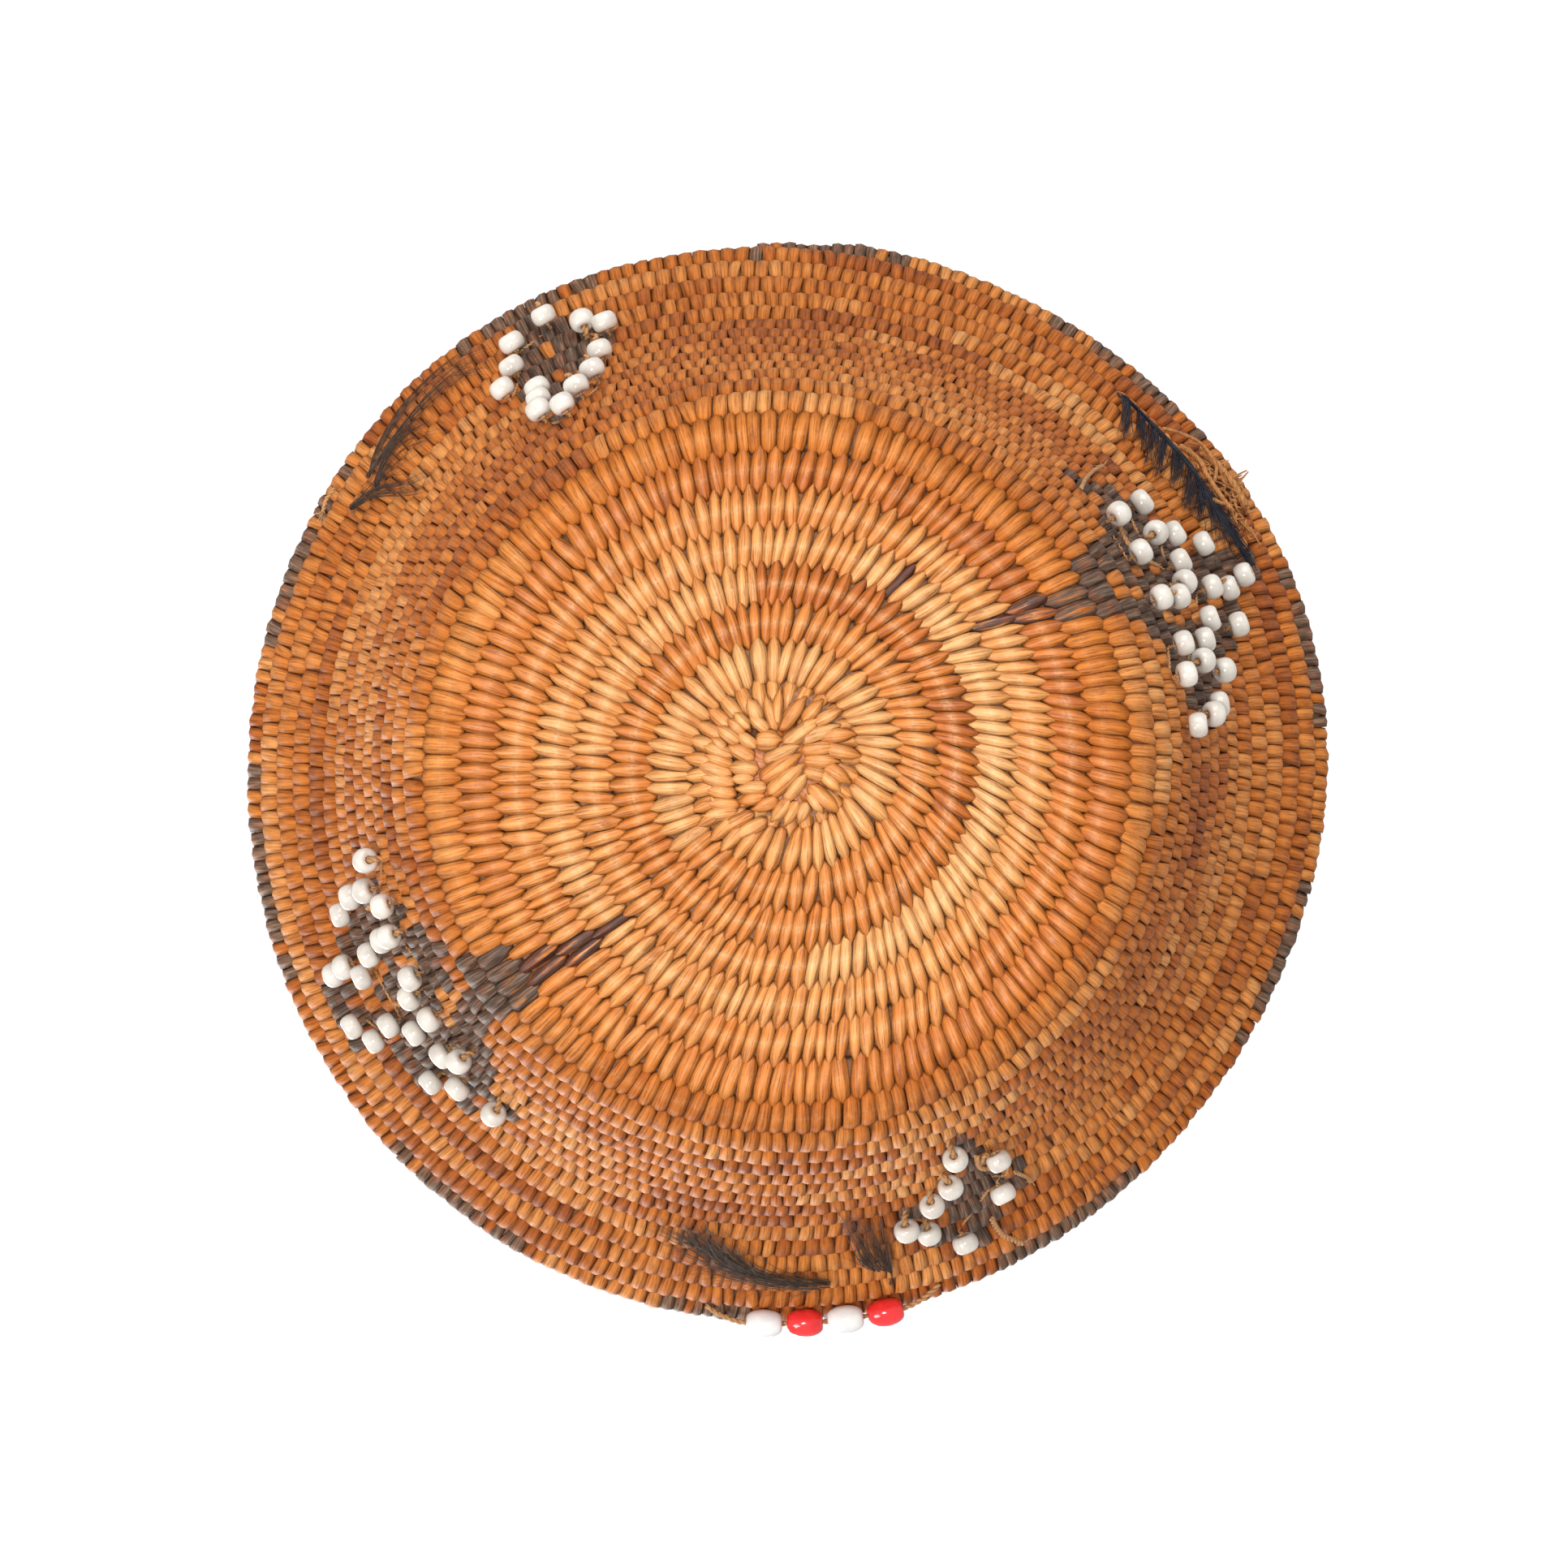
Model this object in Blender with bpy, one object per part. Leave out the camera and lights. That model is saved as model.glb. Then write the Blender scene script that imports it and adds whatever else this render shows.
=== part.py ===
"""Miniature coiled basket with seed beads, rim beads and feather tufts.

The basket stands on its flat base, mouth up, with the middle of its underside at the origin.
The four rim beads are at the -Y side.
One foundation coil winds out from the start knot, clockwise as seen from above,
flat for the base and then row on row up the wall. It is spliced from five lengths.
"""

import math

import bmesh
import bpy
from mathutils import Matrix, Vector

MM = 0.001

# Coil
COIL_DIAMETER = 2.55 * MM
ROW_GAP = 0.45 * MM
TOUCH_GAP = 0.3 * MM
COIL_RADIUS = COIL_DIAMETER / 2
ROW_PITCH = COIL_DIAMETER + ROW_GAP
COIL_SIDES = 6
POINTS_A_TURN = 24
FLAT_SHARE = 0.1
COIL_CENTRE_HEIGHT = COIL_RADIUS - FLAT_SHARE * COIL_DIAMETER
START_ANGLE = math.radians(-2.0)
SPLICE_MARGIN = 0.2

# Turns, counted from the middle of the base
KNOT_TURNS = 1.25
BASE_TURNS = 8.5
LOWER_WALL_END = 13.0
MIDDLE_WALL_END = 17.75
RIM_START = 22.4
COIL_END = 23.75
PROFILE_STEPS = 40

# Slope of the wall, in degrees from the flat, at these rows above the base
WALL_SLOPES = (
    (0.0, 24.0),
    (1.0, 58.0),
    (2.0, 69.0),
    (4.0, 74.0),
    (8.5, 72.0),
    (10.0, 63.5),
    (12.5, 59.5),
    (15.4, 63.0),
)

# The handmade shape: the rim sits a little off the base's middle and has lobes,
# each given as the number of lobes, their depth and the direction of one of them
RIM_OFFSET = Vector((0.4 * MM, -1.0 * MM))
RIM_LOBES = (
    (3, 0.48 * MM, math.radians(47.0)),
    (4, 0.19 * MM, math.radians(67.5)),
)

# Start knot
KNOT_CHAMFER = 0.4 * MM

# Seed beads
SEED_DIAMETER = 2.1 * MM
SEED_LENGTH = 1.5 * MM
SEED_BORE = 0.8 * MM
SEED_END_SHARE = 0.78
SEED_SIDES = 8
OUTLINE_STEPS = 4
LINK_DIAMETER = 0.44 * MM
LINK_SIDES = 5

# Rim beads and their cord
RIM_BEAD_DIAMETER = 2.35 * MM
RIM_BEAD_LENGTH = 3.0 * MM
RIM_BEAD_BORE = 1.0 * MM
RIM_BEAD_SPACING = 3.3 * MM
RIM_BEAD_SIDES = 12
# Profile of half a rim bead: shares of its radius and of its half length, from the end in
RIM_BEAD_PROFILE = ((0.62, 1.0), (0.9, 0.74), (1.0, 0.3))
RIM_BEADS = ("white", "red", "white", "red")
RIM_BEADS_ANGLE = 274.8
RIM_CORD_DIAMETER = 0.6 * MM
RIM_CORD_TAIL = 3.2 * MM
RIM_CORD_POINTS = 17
RIM_CORD_DIP = 1.5
CORD_SIDES = 6

# Feathers
VANE_THICKNESS = 0.5 * MM
QUILL_WIDTH = 0.6 * MM
VANE_START = 0.15
VANE_ROUNDNESS = 0.8
PATH_STEPS = 2

# The photographed view looks up at the base, and its angles run counterclockwise from the
# right of that view, so an angle of 0 there is the -X side and 90 is the +Y side
VIEW_TURN = 180.0

# Seed beads, each given as its angle in the photographed view, its rows above the base and
# the tilt of its bore from straight out of the wall. Two in one group share a thread.
EAST_BEADS = (
    ((14.6, 5.4, 60), (17.2, 6.1, 25)),
    ((13.1, 3.1, 30), (17.4, 3.7, 25)),
    ((27.8, 7.0, 20), (31.3, 8.0, 20)),
    ((23.4, 11.6, 20), (22.6, 10.5, 20)),
    ((7.4, 5.2, 50), (8.6, 6.0, 25)),
    ((31.2, 3.7, 30), (37.2, 3.9, 45)),
    ((23.6, 4.9, 35), (25.1, 6.1, 55)),
    ((19.7, 7.6, 15), (23.4, 8.8, 30)),
    ((32.5, 6.2, 75), (36.8, 7.0, 20)),
    ((18.1, 9.8, 30), (28.6, 9.9, 20)),
    ((24.3, 3.1, 35),),
    ((12.9, 7.1, 45),),
    ((6.0, 3.6, 15),),
)
TOP_BEADS = (
    ((118.2, 5.3, 30), (115.3, 6.2, 30)),
    ((124.1, 5.2, 30), (121.1, 4.3, 30)),
    ((111.3, 10.2, 30), (113.6, 11.0, 60)),
    ((125.9, 9.4, 30), (123.4, 10.4, 30)),
    ((121.8, 11.9, 30), (117.2, 12.2, 30)),
    ((123.2, 6.2, 30), (122.5, 7.3, 30)),
    ((113.3, 8.0, 30),),
)
WEST_BEADS = (
    ((213.2, 10.7, 25), (210.4, 11.3, 25)),
    ((203.8, 10.2, 45), (204.1, 11.1, 50)),
    ((203.0, 4.6, 50), (198.9, 4.3, 40)),
    ((196.1, 5.5, 45), (192.3, 4.9, 75)),
    ((215.2, 5.3, 30), (211.4, 5.7, 40)),
    ((222.0, 5.5, 60), (219.9, 6.4, 30)),
    ((224.3, 7.5, 20), (221.4, 9.2, 20)),
    ((212.7, 9.2, 15), (205.9, 9.2, 20)),
    ((209.3, 4.6, 35), (203.0, 5.7, 35)),
    ((196.2, 7.3, 30),),
    ((197.8, 9.1, 20),),
    ((203.9, 7.4, 30),),
    ((215.4, 7.4, 15),),
    ((229.9, 7.2, 65),),
)
SOUTH_BEADS = (
    ((285.4, 9.6, 60), (287.9, 10.4, 65)),
    ((292.1, 7.0, 60), (289.2, 8.4, 70)),
    ((297.9, 9.8, 25), (291.6, 11.6, 40)),
    ((299.1, 6.8, 30),),
    ((293.9, 4.6, 75),),
)

# Feathers, each a width and a spine of view angle and rows above the base, from the quill on
FEATHERS = {
    "feather_left_outer": (
        1.2 * MM,
        ((142.5, 13.3), (139.5, 13.5), (135.5, 14.2), (131.8, 14.5), (128.0, 14.1), (123.4, 13.3)),
    ),
    "feather_left_inner": (
        1.2 * MM,
        ((144.2, 12.5), (140.4, 12.6), (134.6, 12.9), (129.0, 12.9), (126.5, 12.2)),
    ),
    "feather_left_short": (1.2 * MM, ((144.6, 11.7), (138.2, 11.3), (134.2, 10.7))),
    "feather_left_low": (1.4 * MM, ((148.1, 12.3), (145.2, 10.6), (140.3, 9.0))),
    "feather_right": (
        3.0 * MM,
        ((48.7, 12.9), (42.3, 12.7), (35.2, 12.6), (30.0, 12.4), (23.9, 12.6)),
    ),
    "feather_bottom_left": (
        2.6 * MM,
        ((273.5, 12.6), (269.0, 12.2), (264.2, 11.4), (260.1, 10.6), (255.8, 9.8)),
    ),
    "feather_bottom_right": (
        2.2 * MM,
        ((282.0, 13.2), (281.6, 11.8), (280.5, 10.7), (279.8, 9.5)),
    ),
}

# Cords that lie on the wall: a route of view angle and rows above the base, and a
# diameter at each point of it
FEATHER_CORD_ROUTE = ((42.0, 12.9), (38.0, 13.1), (33.8, 12.9), (30.3, 12.6))
FEATHER_CORD_DIAMETERS = (0.45 * MM, 0.5 * MM, 0.5 * MM, 0.4 * MM)
FRAYED_CORD_ROUTE = ((37.8, 13.9), (35.6, 14.3), (33.0, 14.5), (30.2, 14.4))
FRAYED_CORD_DIAMETERS = (0.5 * MM, 1.3 * MM, 1.5 * MM, 0.5 * MM)


def slope_at(rows):
    """Slope of the wall at some rows above the base, in radians."""
    if rows <= 0.0:
        return 0.0
    for (low, start), (high, end) in zip(WALL_SLOPES, WALL_SLOPES[1:]):
        if rows <= high:
            share = (rows - low) / (high - low)
            return math.radians(start + (end - start) * share)
    return math.radians(WALL_SLOPES[-1][1])


def wall_profile():
    """Distance from the axis and height of the coil's centre, at fine steps above the base."""
    steps = [(BASE_TURNS * ROW_PITCH, COIL_CENTRE_HEIGHT)]
    for index in range(int((COIL_END - BASE_TURNS + 1.0) * PROFILE_STEPS)):
        slope = slope_at((index + 0.5) / PROFILE_STEPS)
        radius, height = steps[-1]
        radius += math.cos(slope) * ROW_PITCH / PROFILE_STEPS
        height += math.sin(slope) * ROW_PITCH / PROFILE_STEPS
        steps.append((radius, height))
    return steps


PROFILE = wall_profile()


def profile_at(turns):
    """Distance from the axis, height and slope at a number of turns from the middle."""
    rows = turns - BASE_TURNS
    if rows <= 0.0:
        return turns * ROW_PITCH, COIL_CENTRE_HEIGHT, 0.0
    place = rows * PROFILE_STEPS
    index = min(int(place), len(PROFILE) - 2)
    share = place - index
    low, high = PROFILE[index], PROFILE[index + 1]
    radius = low[0] + (high[0] - low[0]) * share
    height = low[1] + (high[1] - low[1]) * share
    return radius, height, slope_at(rows)


def frame_at(turns, angle):
    """Point on the coil's middle surface, with the directions up the wall, out of it and along it."""
    radius, height, slope = profile_at(turns)
    rise = max(0.0, turns - BASE_TURNS) / (COIL_END - BASE_TURNS)
    for lobes, depth, direction in RIM_LOBES:
        radius += rise * depth * math.cos(lobes * (angle - direction))
    outward = Vector((math.cos(angle), math.sin(angle), 0.0))
    centre = outward * radius + Vector((0.0, 0.0, height))
    centre += Vector((RIM_OFFSET.x, RIM_OFFSET.y, 0.0)) * rise
    up_wall = outward * math.cos(slope) + Vector((0.0, 0.0, math.sin(slope)))
    out_wall = outward * math.sin(slope) - Vector((0.0, 0.0, math.cos(slope)))
    along = Vector((math.sin(angle), -math.cos(angle), 0.0))
    return centre, up_wall, out_wall, along


def coil_angle(turns):
    """Direction from the axis at which the coil lies after some turns."""
    return START_ANGLE - 2.0 * math.pi * turns


def view_angle(degrees):
    """Direction in the object's own frame of an angle in the photographed view."""
    return math.radians(VIEW_TURN - degrees)


def wall_place(degrees, rows, lift):
    """Point above the wall, with its directions, by view angle, rows above the base and lift."""
    centre, up_wall, out_wall, along = frame_at(BASE_TURNS + rows, view_angle(degrees))
    return centre + out_wall * lift, up_wall, out_wall, along


def material(name, colour, roughness):
    """A plain material of one colour."""
    made = bpy.data.materials.new(name)
    made.use_nodes = True
    shader = made.node_tree.nodes["Principled BSDF"]
    shader.inputs["Base Color"].default_value = (*colour, 1.0)
    shader.inputs["Roughness"].default_value = roughness
    shader.inputs["Metallic"].default_value = 0.0
    made.diffuse_color = (*colour, 1.0)
    return made


def add_object(name, mesh, finish, sharp=35.0):
    """Link a mesh as a named object, smooth where it is round."""
    mesh.shade_smooth()
    mesh.set_sharp_from_angle(angle=math.radians(sharp))
    mesh.materials.append(finish)
    made = bpy.data.objects.new(name, mesh)
    bpy.context.scene.collection.objects.link(made)
    return made


def rings_mesh(name, rings, closed=False):
    """Mesh through rings of points: capped at both ends, or closed on itself."""
    shape = bmesh.new()
    loops = [[shape.verts.new(point) for point in ring] for ring in rings]
    pairs = list(zip(loops, loops[1:]))
    if closed:
        pairs.append((loops[-1], loops[0]))
    for first, second in pairs:
        count = len(first)
        for index in range(count):
            after = (index + 1) % count
            shape.faces.new((first[index], first[after], second[after], second[index]))
    if not closed:
        shape.faces.new(loops[0][::-1])
        shape.faces.new(loops[-1])
    bmesh.ops.recalc_face_normals(shape, faces=shape.faces)
    mesh = bpy.data.meshes.new(name)
    shape.to_mesh(mesh)
    shape.free()
    return mesh


def coil_ring(turns):
    """The coil's section at some turns, cut flat where it would reach below the base."""
    centre, up_wall, out_wall, _ = frame_at(turns, coil_angle(turns))
    ring = []
    for index in range(COIL_SIDES):
        turn = 2.0 * math.pi * index / COIL_SIDES
        point = centre + (up_wall * math.cos(turn) + out_wall * math.sin(turn)) * COIL_RADIUS
        point.z = max(point.z, 0.0)
        ring.append(point)
    return ring


def splice_turns(turns):
    """Half the gap at a splice, as a share of a turn."""
    radius = profile_at(turns)[0]
    return TOUCH_GAP / 2 / (2.0 * math.pi * radius)


def add_coil(name, start, end, finish):
    """One unbroken length of the coil between two splices."""
    first = start + splice_turns(start)
    last = end - splice_turns(end)
    low = math.ceil(first * POINTS_A_TURN + SPLICE_MARGIN)
    high = math.floor(last * POINTS_A_TURN - SPLICE_MARGIN)
    stations = [first] + [step / POINTS_A_TURN for step in range(low, high + 1)] + [last]
    rings = [coil_ring(turns) for turns in stations]
    gap = least_gap(rings)
    if gap is not None:
        print(f"{name}: least gap to itself {gap / MM:.3f} mm")
    return add_object(name, rings_mesh(name, rings), finish, sharp=70.0)


def least_gap(rings):
    """Least distance between points of the coil about a turn apart, or None on a short length."""
    least = None
    for index, ring in enumerate(rings):
        for other in rings[index + POINTS_A_TURN - 2 : index + POINTS_A_TURN + 3]:
            for point in ring:
                for neighbour in other:
                    distance = (point - neighbour).length
                    if least is None or distance < least:
                        least = distance
    return least


def add_knot(finish):
    """The sewn start: a snail-shaped button that the coil grows out of."""
    outline = []
    for step in range(POINTS_A_TURN + 1):
        turns = KNOT_TURNS + step / POINTS_A_TURN
        radius = turns * ROW_PITCH - COIL_RADIUS - TOUCH_GAP
        outline.append((radius, coil_angle(turns)))
    top = COIL_CENTRE_HEIGHT + COIL_RADIUS * math.cos(math.pi / COIL_SIDES)
    levels = (
        (0.0, KNOT_CHAMFER),
        (KNOT_CHAMFER, 0.0),
        (top - KNOT_CHAMFER, 0.0),
        (top, KNOT_CHAMFER),
    )
    rings = []
    for height, inset in levels:
        ring = []
        for radius, angle in outline:
            reach = radius - inset
            ring.append(Vector((reach * math.cos(angle), reach * math.sin(angle), height)))
        rings.append(ring)
    return add_object("start_knot", rings_mesh("start_knot", rings), finish)


def turned_rings(profile, sides, place):
    """Rings of a turned piece: each profile point is a distance from the axis and a place along it."""
    rings = []
    for radius, height in profile:
        ring = []
        for index in range(sides):
            turn = 2.0 * math.pi * index / sides
            ring.append(place @ Vector((radius * math.cos(turn), radius * math.sin(turn), height)))
        rings.append(ring)
    return rings


def axes_matrix(centre, along, out):
    """Matrix with its Z along one direction and its X near another."""
    side = out.cross(along).normalized()
    front = along.cross(side).normalized()
    matrix = Matrix((front, side, along)).transposed().to_4x4()
    matrix.translation = centre
    return matrix


def seed_outline():
    """Half outline of a seed bead: places along its bore from its middle, and distances from it."""
    outline = []
    for step in range(-OUTLINE_STEPS, OUTLINE_STEPS + 1):
        share = step / OUTLINE_STEPS
        radius = SEED_DIAMETER / 2 * (1.0 - (1.0 - SEED_END_SHARE) * abs(share))
        outline.append((SEED_LENGTH / 2 * share, radius))
    for step in range(OUTLINE_STEPS):
        outline.append((-SEED_LENGTH / 2, SEED_DIAMETER / 2 * SEED_END_SHARE * step / OUTLINE_STEPS))
    return outline


def seed_lift(degrees, rows, tilt):
    """Least height over the wall at which a seed bead clears the rows of coil under it."""
    lean = math.radians(tilt)
    reach = COIL_RADIUS + TOUCH_GAP
    turns = (coil_angle(BASE_TURNS + rows) - view_angle(degrees)) / (2.0 * math.pi)
    nearest = (turns - round(turns)) * ROW_PITCH
    lift = 0.0
    for along, radius in seed_outline():
        for side in (-radius, radius):
            up = along * math.sin(lean) + side * math.cos(lean)
            out = along * math.cos(lean) - side * math.sin(lean)
            for row in (nearest - ROW_PITCH, nearest, nearest + ROW_PITCH):
                if abs(up - row) < reach:
                    lift = max(lift, math.sqrt(reach**2 - (up - row) ** 2) - out)
    return lift


def seed_place(degrees, rows, tilt):
    """Centre and bore direction of a seed bead: its bore points out of the wall, tilted upwards."""
    lean = math.radians(tilt)
    centre, up_wall, out_wall, _ = wall_place(degrees, rows, seed_lift(degrees, rows, tilt))
    return centre, out_wall * math.cos(lean) + up_wall * math.sin(lean), up_wall


def seed_bead_mesh(name, degrees, rows, tilt):
    """A bored seed bead, sewn to the wall."""
    centre, bore_direction, up_wall = seed_place(degrees, rows, tilt)
    end = SEED_LENGTH / 2
    bore = SEED_BORE / 2
    shoulder = SEED_DIAMETER / 2 * SEED_END_SHARE
    profile = ((bore, -end), (shoulder, -end), (SEED_DIAMETER / 2, 0.0), (shoulder, end), (bore, end))
    rings = turned_rings(profile, SEED_SIDES, axes_matrix(centre, bore_direction, up_wall))
    return rings_mesh(name, rings, closed=True), centre


def join_meshes(base, tools):
    """Unite meshes with a mesh, each in its own exact union."""
    holder = bpy.data.objects.new("union_base", base)
    bpy.context.scene.collection.objects.link(holder)
    guests = []
    for tool in tools:
        guest = bpy.data.objects.new("union_tool", tool)
        bpy.context.scene.collection.objects.link(guest)
        guests.append(guest)
        union = holder.modifiers.new("Union", "BOOLEAN")
        union.operation = "UNION"
        union.solver = "EXACT"
        union.object = guest
    graph = bpy.context.evaluated_depsgraph_get()
    joined = bpy.data.meshes.new_from_object(holder.evaluated_get(graph))
    for helper in [holder, *guests]:
        bpy.data.objects.remove(helper)
    return joined


def link_mesh(start, end):
    """The short thread between two seed beads that are sewn on together."""
    along = (end - start).normalized()
    place = axes_matrix(start, along, along.orthogonal())
    radius = LINK_DIAMETER / 2
    length = (end - start).length
    profile = ((radius, 0.0), (radius, length))
    return rings_mesh("link", turned_rings(profile, LINK_SIDES, place))


def add_seed_beads(side, places, finish):
    """A cluster of seed beads; two places under one number are a pair on one thread."""
    for number, group in enumerate(places, start=1):
        made = [seed_bead_mesh(f"{side}_bead", *place) for place in group]
        mesh = made[0][0]
        if len(made) == 2:
            link = link_mesh(made[0][1], made[1][1])
            mesh = join_meshes(mesh, [made[1][0], link])
            mesh.materials.clear()
        kind = "pair" if len(made) == 2 else "bead"
        add_object(f"{side}_seed_{kind}_{number:02d}", mesh, finish, sharp=50.0)


def rim_turns(degrees):
    """Turns of the outermost coil at an angle in the photographed view."""
    turn = (START_ANGLE - view_angle(degrees)) / (2.0 * math.pi)
    return turn + math.floor(COIL_END - turn)


def groove_place(degrees, radius):
    """Seat for a round piece in the groove under the rim row, on the outside."""
    turns = rim_turns(degrees) - 0.5
    reach = COIL_RADIUS + TOUCH_GAP + radius
    lift = math.sqrt(reach**2 - (ROW_PITCH / 2) ** 2)
    centre, up_wall, out_wall, along = frame_at(turns, view_angle(degrees))
    return centre + out_wall * lift, up_wall, out_wall, along


def degrees_along_rim(length):
    """View angle that a length takes up at the rim."""
    return math.degrees(length / profile_at(COIL_END)[0])


def rim_bead_angle(index):
    """View angle of a rim bead."""
    middle = (len(RIM_BEADS) - 1) / 2
    return RIM_BEADS_ANGLE + (index - middle) * degrees_along_rim(RIM_BEAD_SPACING)


def add_rim_beads(finishes):
    """The four rim beads, each free to turn on the cord."""
    end = RIM_BEAD_LENGTH / 2
    outer = RIM_BEAD_DIAMETER / 2
    bore = RIM_BEAD_BORE / 2
    half = [(outer * width, end * length) for width, length in RIM_BEAD_PROFILE]
    near = [(radius, -height) for radius, height in half]
    profile = [(bore, -end), *near, *half[::-1], (bore, end)]
    for index, colour in enumerate(RIM_BEADS):
        centre, _, out_wall, along = groove_place(rim_bead_angle(index), outer)
        name = f"rim_bead_{index + 1}_{colour}"
        rings = turned_rings(profile, RIM_BEAD_SIDES, Matrix.Identity(4))
        mesh = rings_mesh(name, rings, closed=True)
        bead = add_object(name, mesh, finishes[colour])
        bead.matrix_world = axes_matrix(centre, along, out_wall)
        axis = tuple(round(value, 6) for value in along)
        print(f"{name}: centre {tuple(round(value, 6) for value in centre)} axis {axis}")


def tube_rings(points, radii, sides):
    """Rings of a tube through points, of a radius for each point."""
    rings = []
    side = None
    for index, point in enumerate(points):
        before = points[max(index - 1, 0)]
        after = points[min(index + 1, len(points) - 1)]
        along = (after - before).normalized()
        if side is None:
            side = along.orthogonal().normalized()
        side = (side - along * side.dot(along)).normalized()
        other = along.cross(side)
        ring = []
        for step in range(sides):
            turn = 2.0 * math.pi * step / sides
            ring.append(point + (side * math.cos(turn) + other * math.sin(turn)) * radii[index])
        rings.append(ring)
    return rings


def add_rim_cord(finish):
    """The cord through the rim beads, whose ends go down into the groove."""
    outer = RIM_BEAD_DIAMETER / 2
    cord = RIM_CORD_DIAMETER / 2
    half = degrees_along_rim(RIM_BEAD_SPACING * len(RIM_BEADS) / 2)
    tail = degrees_along_rim(RIM_CORD_TAIL)
    points = []
    for index in range(RIM_CORD_POINTS):
        share = 2.0 * index / (RIM_CORD_POINTS - 1) - 1.0
        offset = share * (half + tail)
        sunk = max(0.0, (abs(offset) - half) / tail)
        radius = outer + (cord - outer) * sunk**RIM_CORD_DIP
        points.append(groove_place(RIM_BEADS_ANGLE + offset, radius)[0])
    rings = tube_rings(points, [cord] * len(points), CORD_SIDES)
    add_object("rim_bead_cord", rings_mesh("rim_bead_cord", rings), finish)


def smooth_path(points):
    """Points on a smooth curve through a few chosen points."""
    path = []
    last = len(points) - 1
    for index in range(last * PATH_STEPS + 1):
        low = min(index // PATH_STEPS, last - 1)
        share = index / PATH_STEPS - low
        p0 = points[max(low - 1, 0)]
        p1 = points[low]
        p2 = points[low + 1]
        p3 = points[min(low + 2, last)]
        value = []
        for a, b, c, d in zip(p0, p1, p2, p3):
            line = 2.0 * b + (c - a) * share
            curve = (2.0 * a - 5.0 * b + 4.0 * c - d) * share**2
            twist = (3.0 * b - a - 3.0 * c + d) * share**3
            value.append((line + curve + twist) / 2.0)
        path.append(tuple(value))
    return path


def add_feather(name, spine, width, finish):
    """A small feather on the wall: a narrow quill that opens into a flat tapering vane."""
    lift = COIL_RADIUS + TOUCH_GAP + VANE_THICKNESS / 2
    seats = [wall_place(degrees, rows, lift) for degrees, rows in smooth_path(spine)]
    count = len(seats) - 1
    rings = []
    for index, (centre, _, out_wall, _) in enumerate(seats):
        before = seats[max(index - 1, 0)][0]
        after = seats[min(index + 1, count)][0]
        along = (after - before).normalized()
        across = out_wall.cross(along).normalized()
        share = index / count
        opened = VANE_START + (1.0 - VANE_START) * share
        spread = abs(math.sin(math.pi * opened)) ** VANE_ROUNDNESS
        half = (QUILL_WIDTH + (width - QUILL_WIDTH) * spread) / 2
        thick = VANE_THICKNESS / 2
        rings.append(
            [
                centre + across * half,
                centre + out_wall * thick,
                centre - across * half,
                centre - out_wall * thick,
            ]
        )
    add_object(name, rings_mesh(name, rings), finish)


def add_wall_cord(name, route, diameters, clearance, finish):
    """A cord lying over the wall, of a diameter for each chosen point."""
    path = smooth_path([(*place, diameter) for place, diameter in zip(route, diameters)])
    points = []
    radii = []
    for degrees, rows, diameter in path:
        points.append(wall_place(degrees, rows, COIL_RADIUS + clearance + diameter / 2)[0])
        radii.append(diameter / 2)
    add_object(name, rings_mesh(name, tube_rings(points, radii, CORD_SIDES)), finish)


def build():
    """Make every piece."""
    for old in list(bpy.data.objects):
        bpy.data.objects.remove(old)
    straw = material("pale_strand", (0.62, 0.36, 0.15), 0.55)
    tan = material("tan_strand", (0.55, 0.24, 0.07), 0.5)
    russet = material("russet_strand", (0.42, 0.15, 0.05), 0.55)
    dark = material("dark_strand", (0.06, 0.04, 0.035), 0.6)
    milk = material("milk_glass", (0.86, 0.85, 0.82), 0.15)
    red = material("red_glass", (0.6, 0.02, 0.02), 0.15)
    feather = material("dark_feather", (0.02, 0.014, 0.012), 0.6)
    cord = material("tan_cord", (0.5, 0.25, 0.08), 0.8)

    add_knot(straw)
    add_coil("base_coil", KNOT_TURNS + splice_turns(KNOT_TURNS), BASE_TURNS, straw)
    add_coil("wall_coil_lower", BASE_TURNS, LOWER_WALL_END, russet)
    add_coil("wall_coil_middle", LOWER_WALL_END, MIDDLE_WALL_END, tan)
    add_coil("wall_coil_upper", MIDDLE_WALL_END, RIM_START, russet)
    add_coil("rim_coil", RIM_START, COIL_END, dark)

    for side, places in (
        ("east", EAST_BEADS),
        ("top", TOP_BEADS),
        ("west", WEST_BEADS),
        ("south", SOUTH_BEADS),
    ):
        add_seed_beads(side, places, milk)
    add_rim_beads({"white": milk, "red": red})
    add_rim_cord(cord)
    for name, (width, spine) in FEATHERS.items():
        add_feather(name, spine, width, feather)
    over_feather = TOUCH_GAP + VANE_THICKNESS + TOUCH_GAP
    add_wall_cord("feather_cord", FEATHER_CORD_ROUTE, FEATHER_CORD_DIAMETERS, over_feather, cord)
    add_wall_cord("frayed_cord", FRAYED_CORD_ROUTE, FRAYED_CORD_DIAMETERS, TOUCH_GAP, cord)


build()
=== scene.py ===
"""Looks of the miniature coiled basket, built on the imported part.

The basket stands on its flat base at the origin, mouth up. The camera looks up at the base,
as in the photograph. View angles run counterclockwise from the right of that view, and rows
are counted up the wall from the edge of the base.
"""

import math

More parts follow.
